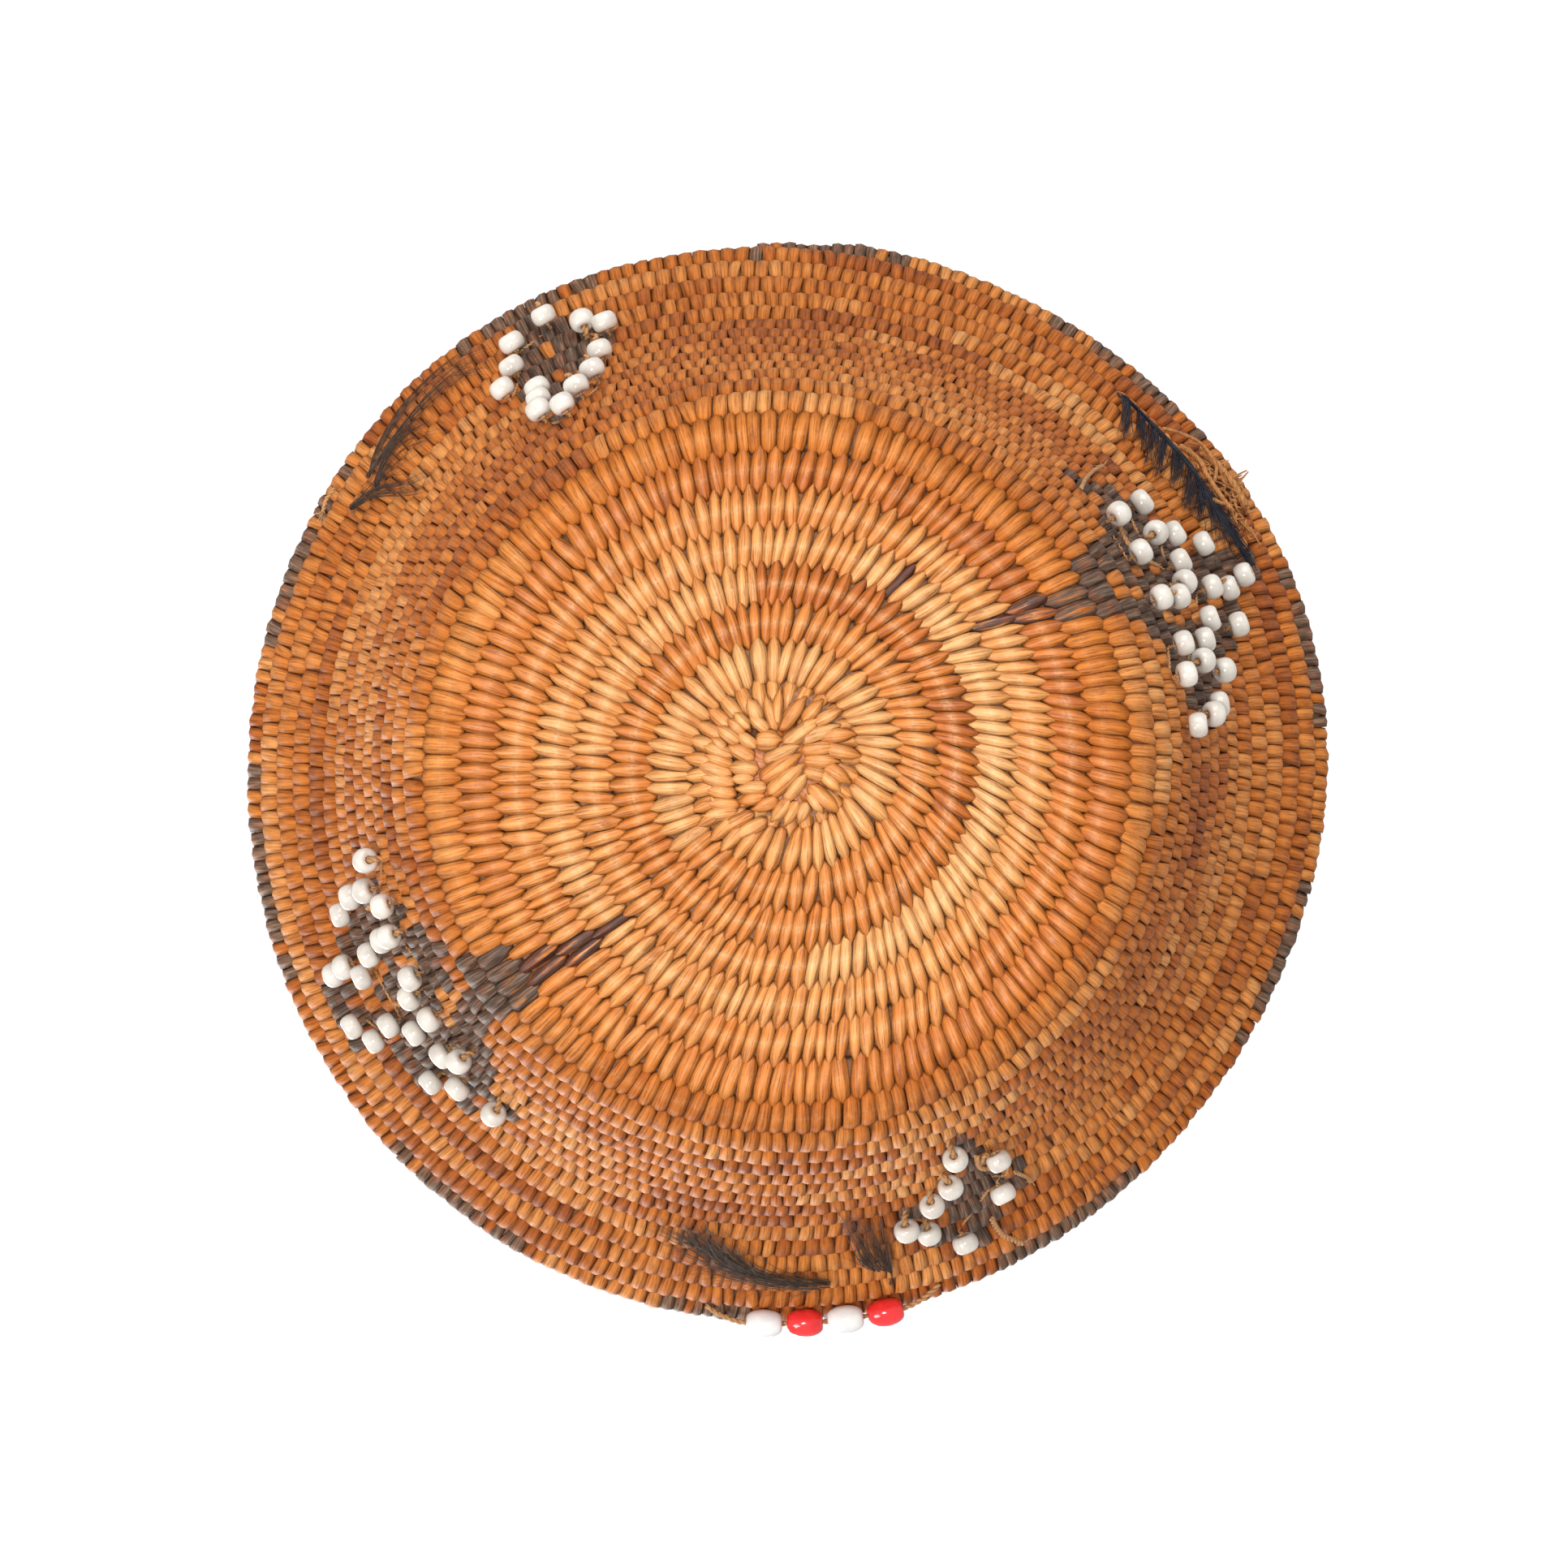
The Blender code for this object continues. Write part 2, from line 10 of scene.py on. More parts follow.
import bpy
import numpy as np
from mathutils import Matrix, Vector


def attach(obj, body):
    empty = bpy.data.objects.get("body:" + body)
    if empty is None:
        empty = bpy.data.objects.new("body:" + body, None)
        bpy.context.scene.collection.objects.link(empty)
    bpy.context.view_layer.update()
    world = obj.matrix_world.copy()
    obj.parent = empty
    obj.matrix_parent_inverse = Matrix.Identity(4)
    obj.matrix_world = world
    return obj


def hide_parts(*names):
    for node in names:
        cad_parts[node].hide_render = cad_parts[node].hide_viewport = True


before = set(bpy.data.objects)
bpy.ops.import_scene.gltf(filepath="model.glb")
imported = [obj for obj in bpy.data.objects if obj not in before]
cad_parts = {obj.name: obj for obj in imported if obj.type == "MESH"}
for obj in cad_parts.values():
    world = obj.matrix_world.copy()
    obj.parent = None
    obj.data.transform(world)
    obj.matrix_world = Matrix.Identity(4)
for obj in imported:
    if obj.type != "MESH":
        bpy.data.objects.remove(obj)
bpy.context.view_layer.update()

MM = 0.001
TURN = 2.0 * math.pi
BODY = "basket"

# The coil, with the same values as the part's source
COIL_DIAMETER = 2.55 * MM
COIL_RADIUS = COIL_DIAMETER / 2
ROW_PITCH = 3.0 * MM
TOUCH_GAP = 0.3 * MM
COIL_CENTRE_HEIGHT = COIL_RADIUS - 0.1 * COIL_DIAMETER
START_ANGLE = math.radians(-2.0)
BASE_TURNS = 8.5
LOWER_WALL_END = 13.0
MIDDLE_WALL_END = 17.75
RIM_START = 22.4
COIL_END = 23.75
PROFILE_STEPS = 40
# Slope of the wall in degrees, by rows above the base
WALL_SLOPES = (
    (0, 24), (1, 58), (2, 69), (4, 74), (8.5, 72), (10, 63.5), (12.5, 59.5),
    (15.4, 63),
)
RIM_OFFSET = np.array((0.4 * MM, -1.0 * MM, 0.0))
RIM_LOBES = ((3, 0.48 * MM, math.radians(47.0)), (4, 0.19 * MM, math.radians(67.5)))
VIEW_TURN = 180.0
# Seed of the random draws
DRAWS = 11
# Where the upper wall's stitches are parted, so that no mesh has over 200,000 triangles
UPPER_SPLIT = 20.1

# The camera, and the photograph's view of the base: its middle, and the size of a pixel there
CAMERA_LENS = 191.4
CAMERA_DISTANCE = 0.65
CAMERA_SHIFT = -1.456 * MM
PHOTO_MIDDLE = 966.0
PIXEL = CAMERA_DISTANCE / 10270.0

# Stitches: their widths in mm by turns, and the rule by which each sits between two of the row before
FIRST_STITCH = 1.12
FIRST_RING = 1.05
STITCH_WIDTHS = (
    (1, 1.1), (2.5, 1.06), (3.8, 0.96), (5.5, 0.98), (6.8, 1.04), (8.6, 1.16), (10, 1.13),
    (12, 1.06), (23, 1.06), (23.8, 0.98),
)
SKIP_SHARE = 0.35
ADD_SHARE = 0.9
DEBT = 0.6
RELAXING = 0.4
RELAXED = 3
JOIN_REACH = 1.5 * MM
# Sideways lean in degrees: on the base on average, its swing, where it is most, and on the wall
BASE_LEAN = 12.0
LEAN_SWING = 9.0
MOST_LEAN_AT = 340.0
WALL_LEAN = 3.0
LEAN_FADE = 3.0
# Heights of the crowns, the depth of a strand's underside, and its section across
BASE_CROWN = 0.075 * MM
WALL_CROWN = 0.13 * MM
RIM_CROWN = 0.06 * MM
UNDER = 0.12 * MM
ACROSS = (-1.0, -0.8, 0.0, 0.8, 1.0, 0.0)
CROWN_SHARES = (0.0, 0.84, 1.0, 0.84, 0.0, 0.0)
# Change from the base's section to the wall's in rows, and the quick one to the rim's
WALL_FROM = -0.4
WALL_OVER = 2.0
RIM_QUICKNESS = 60.0
# How stitches differ: width as a share, crest in mm, tilt as a share, lean in degrees, place in a map
WIDTH_OF_GAP = 1.02
WIDTH_SPREAD = 0.035
CREST_SPREAD = 0.045
CREST_LIMITS = (-0.1, 0.08)
TILT_SPREAD = 0.07
LEAN_SPREAD = 3.0
STRAND_SHIFTS = 60.0
NARROWEST = 0.45
WIDEST = 1.3
# How much of the crests' differences the base has, how far the wall has to have begun for a crest to
# be higher, and the least share of the crown
BASE_CREST_SHARE = 0.5
LEVEL_UP_TO = 0.3
CROWN_LEAST = 0.5
# The taper at the rim's end
END_STEEPNESS = 36.0
END_SHARE = 0.6
END_DROP = 1.0 * MM
# The coil's filling: steps a turn, reach and depth in mm, how it shrinks on the base and near the start
FILLING_STEPS = 72.0
FILLING_START = 0.1
FILLING_SPARE = 0.02
FILLING_END = (0.015, 0.01, 0.005, 0.001)
FILLING_REACH = 1.56
FILLING_DEPTH = (0.96, 0.15, 0.53)
FILLING_MIDDLE = (0.02, 0.24, 0.1)
FILLING_SIDES = 10
FILLING_THIN = 1.2
FILLING_FADE = 0.2

# Section of a stitch, in mm: up the wall, out of it, and the share of its full width
BASE_SECTION = (
    (-1.92, 0.26, 0.5), (-1.76, 0.38, 0.78), (-1.54, 0.48, 0.95), (-1.15, 0.6, 1.04),
    (-0.65, 0.74, 1.06), (-0.05, 0.84, 1.05), (0.5, 0.81, 1.01), (0.98, 0.73, 0.9), (1.36, 0.66, 0.68),
    (1.68, 0.6, 0.38), (2.08, 0.53, 0.03), (1.5, -0.6, 0.3), (1, -1, 0.8), (0.3, -1.2, 1),
    (-0.5, -1.2, 1), (-1.2, -0.95, 0.9), (-1.74, -0.5, 0.5),
)
WALL_SECTION = (
    (-1.74, 0.52, 0.56), (-1.62, 0.72, 0.82), (-1.36, 0.96, 0.97), (-0.96, 1.15, 1.02),
    (-0.46, 1.26, 1.04), (0.08, 1.29, 1.04), (0.6, 1.22, 1.03), (1.02, 1.06, 1), (1.36, 0.86, 0.88),
    (1.62, 0.66, 0.64), (1.84, 0.44, 0.24), (1.5, -0.5, 0.35), (1, -0.95, 0.75), (0.3, -1.2, 1),
    (-0.6, -1.2, 1), (-1.3, -0.88, 0.85), (-1.7, -0.25, 0.5),
)
RIM_SECTION = (
    (-1.85, 0.2, 0.35), (-1.8, 0.44, 0.64), (-1.54, 0.8, 0.9), (-1.06, 1.04, 1),
    (-0.46, 1.15, 1), (0.14, 1.16, 1), (0.68, 1, 1), (1.04, 0.68, 1), (1.2, 0.25, 1),
    (1.18, -0.25, 1), (0.98, -0.7, 1), (0.6, -1.02, 1), (0.05, -1.16, 1),
    (-0.55, -1.14, 1), (-1.1, -0.98, 0.9), (-1.55, -0.6, 0.7), (-1.8, -0.15, 0.5),
)
OUTER_SAMPLES = 11

# The start knot sinks into the base over some turns, and its strands are widened
KNOT_DROP = 0.35 * MM
KNOT_EDGE = 2.1
KNOT_FADE = 0.4
KNOT_WIDEN = 1.18
KNOT_DEPTHS = (0.02, 0.14)
KNOT_DIP = 0.32
KNOT_THICKNESS = 1.2 * MM
KNOT_LEAST_SHARE = 0.3
# Tone of the knot's strands, the wear of their crests with a painted highlight on it, and how they and
# those of its rings differ
KNOT_TONES = (0.2, 0.08)
KNOT_WEAR_AND_HIGHLIGHT = 0.2
KNOT_TILT_SPREAD = 0.05
RING_TURN_SPREAD = 0.12
RING_TONE_SPREAD = 0.04
RING_REACH = (0.9, 1.0)
# Rings of strands round the knot: nearest and farthest reach in mm, how many, width and depth in mm,
# tone, and 1 on the underside or -1 inside the basket. The ring on the underside has a dark tone as
# painted shade for its sunken depth
KNOT_RINGS = (
    (0.1, 4.3, 18, 1.5, 0.4, 0.8, 1),
    (0.4, 4.4, 20, 1.3, 0.44, 0.42, -1),
    (0.3, 3, 13, 1.15, 0.26, 0.26, -1),
    (0, 1.6, 7, 1, 0.08, 0.2, -1),
)
INSIDE_TOP = 2.42 * MM
KNOT_CENTRE = np.array((0.0, -0.6 * MM, 0.0))
# Strands of the start knot: from and to these pixels of the photograph, and a width in mm
KNOT_STRANDS = (
    (940, 938, 986, 918, 0.9), (936, 962, 988, 928, 1.2), (946, 980, 992, 940, 1.2),
    (966, 986, 995, 952, 0.9), (930, 912, 964, 911, 1.4), (955, 898, 961, 848, 0.75),
    (956, 902, 943, 856, 0.75), (936, 890, 922, 860, 0.9), (948, 902, 922, 880, 0.8),
    (924, 898, 904, 877, 0.75), (918, 904, 896, 886, 0.75), (932, 922, 908, 902, 0.85),
    (912, 916, 883, 895, 0.9), (894, 924, 877, 909, 0.7), (930, 936, 896, 918, 1),
    (904, 932, 865, 918, 0.9), (904, 943, 866, 930, 0.8), (936, 948, 896, 945, 1.05),
    (903, 955, 858, 941, 0.95), (930, 958, 900, 960, 0.8), (906, 966, 859, 955, 0.95),
    (946, 970, 906, 972, 0.9), (908, 979, 865, 971, 0.9), (944, 981, 909, 988, 0.8),
    (912, 992, 862, 988, 0.8), (910, 999, 864, 1006, 0.9), (960, 985, 926, 998, 0.9),
    (930, 1002, 884, 1026, 0.95), (974, 984, 950, 1012, 0.9), (946, 1010, 900, 1034, 0.9),
    (984, 986, 966, 1018, 0.8), (995, 988, 984, 1014, 0.8), (964, 918, 1012, 888, 1.1),
    (960, 900, 993, 858, 0.95), (978, 905, 1012, 884, 0.8), (988, 890, 1014, 862, 0.85),
    (984, 912, 1036, 893, 0.9), (1000, 893, 1037, 874, 0.85), (1002, 909, 1056, 904, 1),
    (986, 924, 1034, 920, 1), (1010, 921, 1062, 932, 0.95), (988, 936, 1036, 938, 1),
    (990, 949, 1022, 958, 1), (1012, 941, 1048, 964, 1), (1008, 948, 1036, 976, 0.8),
    (996, 966, 1034, 1000, 1), (996, 974, 1014, 1002, 0.8),
)

# Dark stitches of the four stepped figures and of a small patch: the lowest row above the base, how
# dark the lowest rows are where they aren't fully dark, and for each row the view angles where its
# dark runs start and end. A row that is marked streaky is part dark and part tan.
STREAKY = 0.56
FIGURES = (
    (-1.94, (STREAKY, STREAKY, STREAKY), (
        (32.7, 36), (29, 35), (26.8, 32.5), (24.7, 35), (22.2, 26.8, 30, 34.8),
        (19.7, 25.6, 27.4, 28.6, 30.2, 35.3), (12.5, 22.9, 24.8, 28.6, 30.2, 38.4),
        (8.4, 20.3, 22, 40, 41.6, 46), (7.9, 20, 22, 26.5, 29.5, 42.8), (9.5, 20.4, 22.2, 41.5),
        (10.7, 20, 22.2, 38.2), (14.3, 19.5, 21.8, 33), (15.7, 21.5, 24, 28), (18.6, 28),
        (22.5, 27), (22.1, 26.4),
    )),
    (4.33, (), (
        (119.9, 121.3), (118.8, 120, 121.2, 122.7), (118, 122.5), (118, 122.5), (118, 122.5),
        (114.8, 118.4, 119.2, 124.5), (110.4, 112.1, 114.5, 118.5, 119.3, 124.5),
        (112, 118.6, 119.4, 122.2), (114.6, 121.3), (118.4, 120.2),
    )),
    (-2.4, (0.8, STREAKY, STREAKY, 0.6), (
        (221.4, 225.4), (217.9, 224.3), (215.4, 222.5), (212.1, 222.1), (209.6, 222),
        (207.7, 209.6, 210.4, 212.1, 214.8, 221.4), (203.6, 211, 212.5, 214.6, 216.4, 221.8),
        (200, 202.1, 202.9, 209.5, 211, 213.2, 216.8, 224.5),
        (197.5, 207.3, 209.6, 215.4, 217.1, 226.8), (193.8, 205.4, 206.8, 227.1),
        (195, 205.4, 206.8, 232.1), (197.5, 205.5, 207.1, 227.1),
        (197.5, 202.1, 207.1, 209.6, 212.1, 222.5, 225.7, 227.5),
        (200.7, 202.9, 209.6, 211.4, 214.3, 222.9), (205.4, 207.1, 208.8, 211.6),
        (205.2, 209.6, 212, 213.2),
    )),
    (4.81, (), (
        (294.3, 296.1), (292.9, 296.6), (295, 297.5), (295, 297.5), (289.5, 290.7, 293.6, 297.9),
        (284.1, 287.7, 290.5, 298.2, 301.1, 302.9), (290.5, 297, 298, 300.4),
        (287.9, 291.3, 292, 296.6), (293, 294.6),
    )),
    (-2.72, (), ((57.6, 59.8),)),
)
# Dark runs of the rim row, by view angle
RIM_RUNS = (
    (329.6, 332), (333.8, 345.2), (346.2, 349.4), (5.3, 8.1), (9.2, 19), (20.1, 22.5), (38.9, 40.3),
    (42.8, 49.1), (49.9, 54.2), (55.7, 59), (75.4, 78), (79.2, 88.9), (90.6, 93.6), (109.7, 112.5),
    (114.3, 124), (125.1, 127.2), (143.3, 146.1), (147.7, 150), (151.3, 161.1), (162.7, 165.5),
    (178.2, 181.2), (183.6, 198.5), (200, 202.8), (222.8, 225.5), (227, 236.7), (238.2, 241.2),
    (257.6, 259.8), (261.2, 267), (294, 308.6), (310.2, 313),
)

# Seed beads, as in the part's source: view angle, rows above the base and tilt, in ones and pairs
SEED_DIAMETER = 2.1 * MM
SEED_LENGTH = 1.5 * MM
SEED_BORE = 0.66 * MM
SEED_END_SHARE = 0.78
SEED_ROUNDNESS = 0.68
SEED_SIDES = 28
SEED_SPREAD = 0.02
STEEP_TILT = 50
KNOT_CHANCE = 0.25
OUTLINE_STEPS = 4
SEED_BEADS = {
    "east": (
        (14.6, 5.4, 60, 17.2, 6.1, 25), (13.1, 3.1, 30, 17.4, 3.7, 25), (27.8, 7, 20, 31.3, 8, 20),
        (23.4, 11.6, 20, 22.6, 10.5, 20), (7.4, 5.2, 50, 8.6, 6, 25), (31.2, 3.7, 30, 37.2, 3.9, 45),
        (23.6, 4.9, 35, 25.1, 6.1, 55), (19.7, 7.6, 15, 23.4, 8.8, 30), (32.5, 6.2, 75, 36.8, 7, 20),
        (18.1, 9.8, 30, 28.6, 9.9, 20), (24.3, 3.1, 35), (12.9, 7.1, 45), (6, 3.6, 15),
    ),
    "top": (
        (118.2, 5.3, 30, 115.3, 6.2, 30), (124.1, 5.2, 30, 121.1, 4.3, 30),
        (111.3, 10.2, 30, 113.6, 11, 60), (125.9, 9.4, 30, 123.4, 10.4, 30),
        (121.8, 11.9, 30, 117.2, 12.2, 30), (123.2, 6.2, 30, 122.5, 7.3, 30), (113.3, 8, 30),
    ),
    "west": (
        (213.2, 10.7, 25, 210.4, 11.3, 25), (203.8, 10.2, 45, 204.1, 11.1, 50),
        (203, 4.6, 50, 198.9, 4.3, 40), (196.1, 5.5, 45, 192.3, 4.9, 75),
        (215.2, 5.3, 30, 211.4, 5.7, 40), (222, 5.5, 60, 219.9, 6.4, 30),
        (224.3, 7.5, 20, 221.4, 9.2, 20), (212.7, 9.2, 15, 205.9, 9.2, 20),
        (209.3, 4.6, 35, 203, 5.7, 35), (196.2, 7.3, 30), (197.8, 9.1, 20), (203.9, 7.4, 30),
        (215.4, 7.4, 15), (229.9, 7.2, 65),
    ),
    "south": (
        (285.4, 9.6, 60, 287.9, 10.4, 65), (292.1, 7, 60, 289.2, 8.4, 70),
        (297.9, 9.8, 25, 291.6, 11.6, 40), (299.1, 6.8, 30), (293.9, 4.6, 75),
    ),
}
# A tilted bead's thread: past the bead and towards the wall, then how far down to it, in mm and share
THREAD_BEND = ((-0.1, 0.0), (0.26, 0.32), (0.28, 0.85))
THREAD_SEWN = ((0.9, 0.7), (0.5, 1.0))
THREAD_KNOT = ((0.2, 0.12), (0.33, 0.5))
# How far a thread goes past a bead's near end, and past it where it is sewn back, how far it stops
# short of the far end, how it and a knot stray, and how deep it is sewn, as a share
THREAD_PAST = 0.15 * MM
THREAD_BACK = 0.3 * MM
THREAD_SHORT = 0.05 * MM
THREAD_STRAY = 0.25
KNOT_STRAY = 0.5
SEWN_DEPTH = 0.8
# The link between two beads: how far it lies over the coil, and how it goes from one to the other
LINK_LIFT = 0.12 * MM
LINK_SHARES = (0.7, 0.3)
# Twisted threads: radius, and the length of a turn
LINK_TWIST = (0.15 * MM, 0.8 * MM)
SEWN_TWIST = (0.29 * MM, 1.1 * MM)
THREAD_TWIST = (0.25 * MM, 1.0 * MM)

# Rim beads and their cord, as in the part's source
RIM_BEAD_DIAMETER = 2.35 * MM
RIM_BEAD_LENGTH = 3.0 * MM
RIM_BEAD_BORE = 0.7 * MM
RIM_BEAD_ROUNDNESS = 0.95
RIM_BEAD_SIDES = 40
RIM_BEAD_SPACING = 3.3 * MM
RIM_BEADS = ("white", "red", "white", "red")
RIM_BEADS_ANGLE = 274.8
RIM_CORD_DIAMETER = 0.6 * MM
RIM_CORD_TAIL = 3.2 * MM
RIM_CORD_DIP = 1.5
RIM_CORD_STEPS = 61
RIM_CORD_SHARE = 0.8
RIM_CORD_PITCH = 1.2 * MM
# Steps along a bead's side, and the lips at the ends of its bore
BEAD_STEPS = 12
BEAD_LIP = 0.08 * MM
BEAD_INSET = 0.14 * MM

# Twisted threads: steps to a turn, the share of the radius that a ply has, where the turns start, and
# for cords the length of a turn in radii
TWIST_STEPS = 7.0
PLY_SHARE = 0.56
TWIST_STARTS = (0.0, 6.0)
CORD_PITCH = 4.6
LOOSE_PITCH = 4.4

# Feathers and cords on the wall, as in the part's source
# Each feather has a spine, as view angles and rows above the base, and sprays of barbs: how many,
# how many to a clump, the part of the spine that they leave, how far each reaches in degrees and
# rows, how widely that varies, and their thickness in mm. A spray without a reach follows the spine.
FEATHERS = {
    "feather_left_outer": (
        ((143.4, 12.4), (140.6, 12.9), (135.5, 13.3), (131.8, 13.4), (128, 13.3), (123.4, 12.7)),
        ((18, 4, 0, 0.08, None, (1.3, 0.34), 0.032), (8, 2, 0, 0.1, (-9, 0.3), (2.4, 0.5), 0.024)),
    ),
    "feather_left_inner": (
        ((144.2, 12.5), (140.4, 12.6), (134.6, 12.9), (129, 12.9), (126.5, 12.2)),
        ((20, 4, 0, 0.08, None, (1.1, 0.38), 0.032), (10, 2, 0, 0.1, (-9, -0.5), (2.4, 0.7), 0.024)),
    ),
    "feather_left_short": (
        ((144.6, 11.7), (139.8, 12.1), (136.7, 11.7), (134.2, 10.9)),
        ((22, 4, 0, 0.08, None, (0.9, 0.45), 0.032), (12, 2, 0, 0.1, (-9, -1), (1.9, 0.8), 0.024)),
    ),
    "feather_left_low": (
        ((148.1, 12.3), (145.1, 11.5), (142.6, 9.9), (140.3, 8.9)),
        (
            (20, 4, 0, 0.08, None, (1, 0.5), 0.032),
            (18, 3, 0, 0.06, (-7.6, -1.3), (1.8, 0.7), 0.028),
            (6, 1, 0, 0.06, (3, -2.8), (1.8, 1), 0.022),
        ),
    ),
    "feather_right": (
        ((48.7, 12.9), (42.3, 12.7), (35.2, 12.6), (30, 12.4), (23.9, 12.6)),
        (
            (80, 8, 0, 0.6, None, (0.5, 0.16), 0.055),
            (156, 12, 0.02, 0.62, (-3.5, -2.2), (0.6, 0.5), 0.055),
            (84, 3, 0.46, 0.68, (-7.8, -0.8), (1.9, 1.3), 0.034),
        ),
    ),
    "feather_bottom_left": (
        ((275.7, 12.5), (269.9, 12.2), (264.6, 11.5), (260.1, 10.5), (255.8, 9.8)),
        (
            (84, 2, 0, 0.45, None, (2.2, 0.9), 0.032),
            (60, 1, 0, 0.6, (-5, 0.4), (2.6, 0.7), 0.022),
            (60, 1, 0, 0.4, (-4, -0.8), (2, 0.7), 0.022),
            (84, 4, 0.35, 0.85, (-3.2, -2), (1.4, 0.8), 0.034),
        ),
    ),
    "feather_bottom_right": (
        ((282.3, 13.2), (282.6, 12.4), (280.3, 12), (278, 10.9), (277.1, 9.7)),
        (
            (26, 1, 0.16, 0.62, (-3.2, -5.2), (2.2, 0.9), 0.042),
            (12, 1, 0.12, 0.34, (0.2, -4.8), (1.2, 0.8), 0.04),
            (44, 1, 0.18, 0.56, (-1.2, -1.9), (1.4, 0.6), 0.034),
        ),
    ),
}
# How barbs and their clumps differ: length, way, place, waves and bend, as shares
CLUMP_LENGTHS = (0.6, 1.0)
CLUMP_STRAY = 0.8
BARB_LENGTHS = (0.78, 1.0)
BARB_STRAY = 0.32
BARB_SHIFT = 0.012
BARB_WAVE = 0.12
BARB_WAVES = (2.0, 6.0)
BARB_BEND = 0.25
# How barbs along the spine part from it, how high barbs start, how they rise and how they thin
PARTING_START = 0.15
PARTING_POWER = 1.3
BARB_STARTS = (0.1, 0.6)
BARB_RISES = (-0.2, 0.5)
BARB_THINNING = 0.65
HIGHEST_BARB = 13.5
VANE_THICKNESS = 0.5 * MM
QUILL_SHARES = (0.5, 1.0, 0.8, 0.5, 0.3)
HAIR_RADIUS = 0.15 * MM
# Strands of the cord over the right feather, and of the frayed cord by the rim, with radii in mm
FEATHER_CORD = (
    (
        ((42.2, 12.5), (41.1, 12.9), (39.4, 13.4), (38.3, 13.6), (36.7, 13.6), (35.3, 13.4), (34.2, 12.8)),
        0.17,
    ),
    (((39.6, 12.5), (36.9, 12.8), (35.1, 12.6), (32.2, 12.55), (30.3, 12.65)), 0.24),
    (((31.4, 12.6), (31.9, 12.3), (32.6, 12.1)), 0.17),
)
FRAYED_CORD = (
    (((37.8, 13.7), (35.6, 13.9), (33, 14), (30.2, 13.9)), 0.42),
    (((36.4, 13.8), (35.2, 14.2), (33.8, 13.8), (32.6, 14.3), (31, 13.9)), 0.19),
    (((34.4, 13.6), (33.2, 14.2), (32.2, 13.9), (31, 14.3), (29.4, 14)), 0.19),
)
# Frayed hairs: how many, how far out and aside they go and curl, their length and how they thin
FRAYED_HAIRS = 4
FRAYED_OUT = (0.0, 0.9)
FRAYED_ASIDE = 0.45
FRAYED_CURL_OUT = (0.1, 0.35)
FRAYED_CURL_ASIDE = 0.5
FRAYED_LENGTHS = (0.6, 1.0)
FRAYED_THINNING = 0.62
# Matted fibres: how many, between which rows, where they start by a stub, the steps that they take,
# how high they lie in mm, and their radius
MATTED_FIBRES = 40
MATTED_ROWS = (12.9, 14.3)
MATTED_DROP = 0.7
MATTED_SPREAD = (1.0, 0.3)
MATTED_STEP = (0.9, 0.3)
MATTED_LIFTS = (0.0, 0.7)
MATTED_RADIUS = 0.10 * MM
# Frayed ends: view angle, rows above the base and length in mm
FRAYED_STUBS = (
    (35.5, 14.3, 1.2), (33.4, 14.3, 1), (32.7, 14.5, 1.2), (31, 14.2, 0.8), (29.6, 14, 0.7),
)

# Loose ends of thread on the wall, as view angles and rows above the base, with radii in mm
LOOSE_THREADS = (
    (((43.2, 3.7), (43.8, 5), (43.9, 6.4), (43.6, 7.5)), 0.2),
    (((35.7, 4.3), (33.6, 3.9), (31.5, 4), (29.8, 4.7), (28.7, 5.4)), 0.2),
    (((295.5, 11.4), (295.6, 12.1), (296, 12.7), (296.7, 13.1), (297.5, 13.6)), 0.26),
    (((296.8, 6.2), (296.6, 7.3), (297.6, 7.9), (298.5, 7.3), (297.9, 6.5), (297.2, 6.9)), 0.25),
    (((300.4, 9.5), (301.2, 10.1), (301.7, 10.6)), 0.2),
    (((147, 13.7), (148.4, 13.8), (149.9, 13.6)), 0.2),
    (((300, 8.7), (299.3, 9.3), (298.6, 9.2)), 0.17),
)
# Their loose hairs: stray, length in mm and radius
LOOSE_STRAY = 0.6
LOOSE_LENGTH = 0.5
LOOSE_RADIUS = 0.05 * MM

# Runs of one tone on the base and on the wall: fewest and most strands, spread, least and most tone,
# and how much one strand differs from the next
BASE_RUNS = (14, 46, 0.11, 0.04, 0.76, 0.05)
WALL_RUNS = (4, 16, 0.18, 0.24, 0.90, 0.07)
# Middle tone of the strands by turns: a pale middle, a russet ring, a golden one and a russet edge
TONE_RINGS = (
    (1, 0.14), (2.3, 0.18), (2.8, 0.42), (4.5, 0.46), (5, 0.32), (6.4, 0.25), (7.1, 0.4),
    (7.7, 0.56), (8.6, 0.6), (10.5, 0.54),
)
# Wear of the crests, shown together with a painted highlight, and where along the strand in mm that
# painted highlight shows, by rows above the base
CREST_WEAR_AND_HIGHLIGHT = (
    (-8.5, 0.2), (-5.5, 0.3), (-3, 0.42), (-1.6, 0.32), (-0.4, 0.2), (0.9, 0.18), (1.7, 0.12),
    (2.6, 0.08), (14, 0.08), (15, 0),
)
GLINT_PLACES = ((-1.0, -0.05), (0.2, -0.5), (1.2, -0.75))
GLINT_FALL = 1.8
POINT_VALUES = ("tone", "dark", "reach", "edge", "wear_and_highlight")
# Noise over the strands, as fine fibres, broad ones, blotches and speckles: how it is stretched,
# its scale, detail and roughness
STRAND_NOISES = (
    ((6.6, 0.36, 1), 1, 4, 0.62),
    ((2.3, 0.2, 1), 1, 3, 0.5),
    (None, 0.55, 2, 0.5),
    (None, 3.2, 3, 0.65),
)
BLOTCH_SHARE = 0.5
FINE_SHARE = 0.9
BROAD_SHARE = 0.8
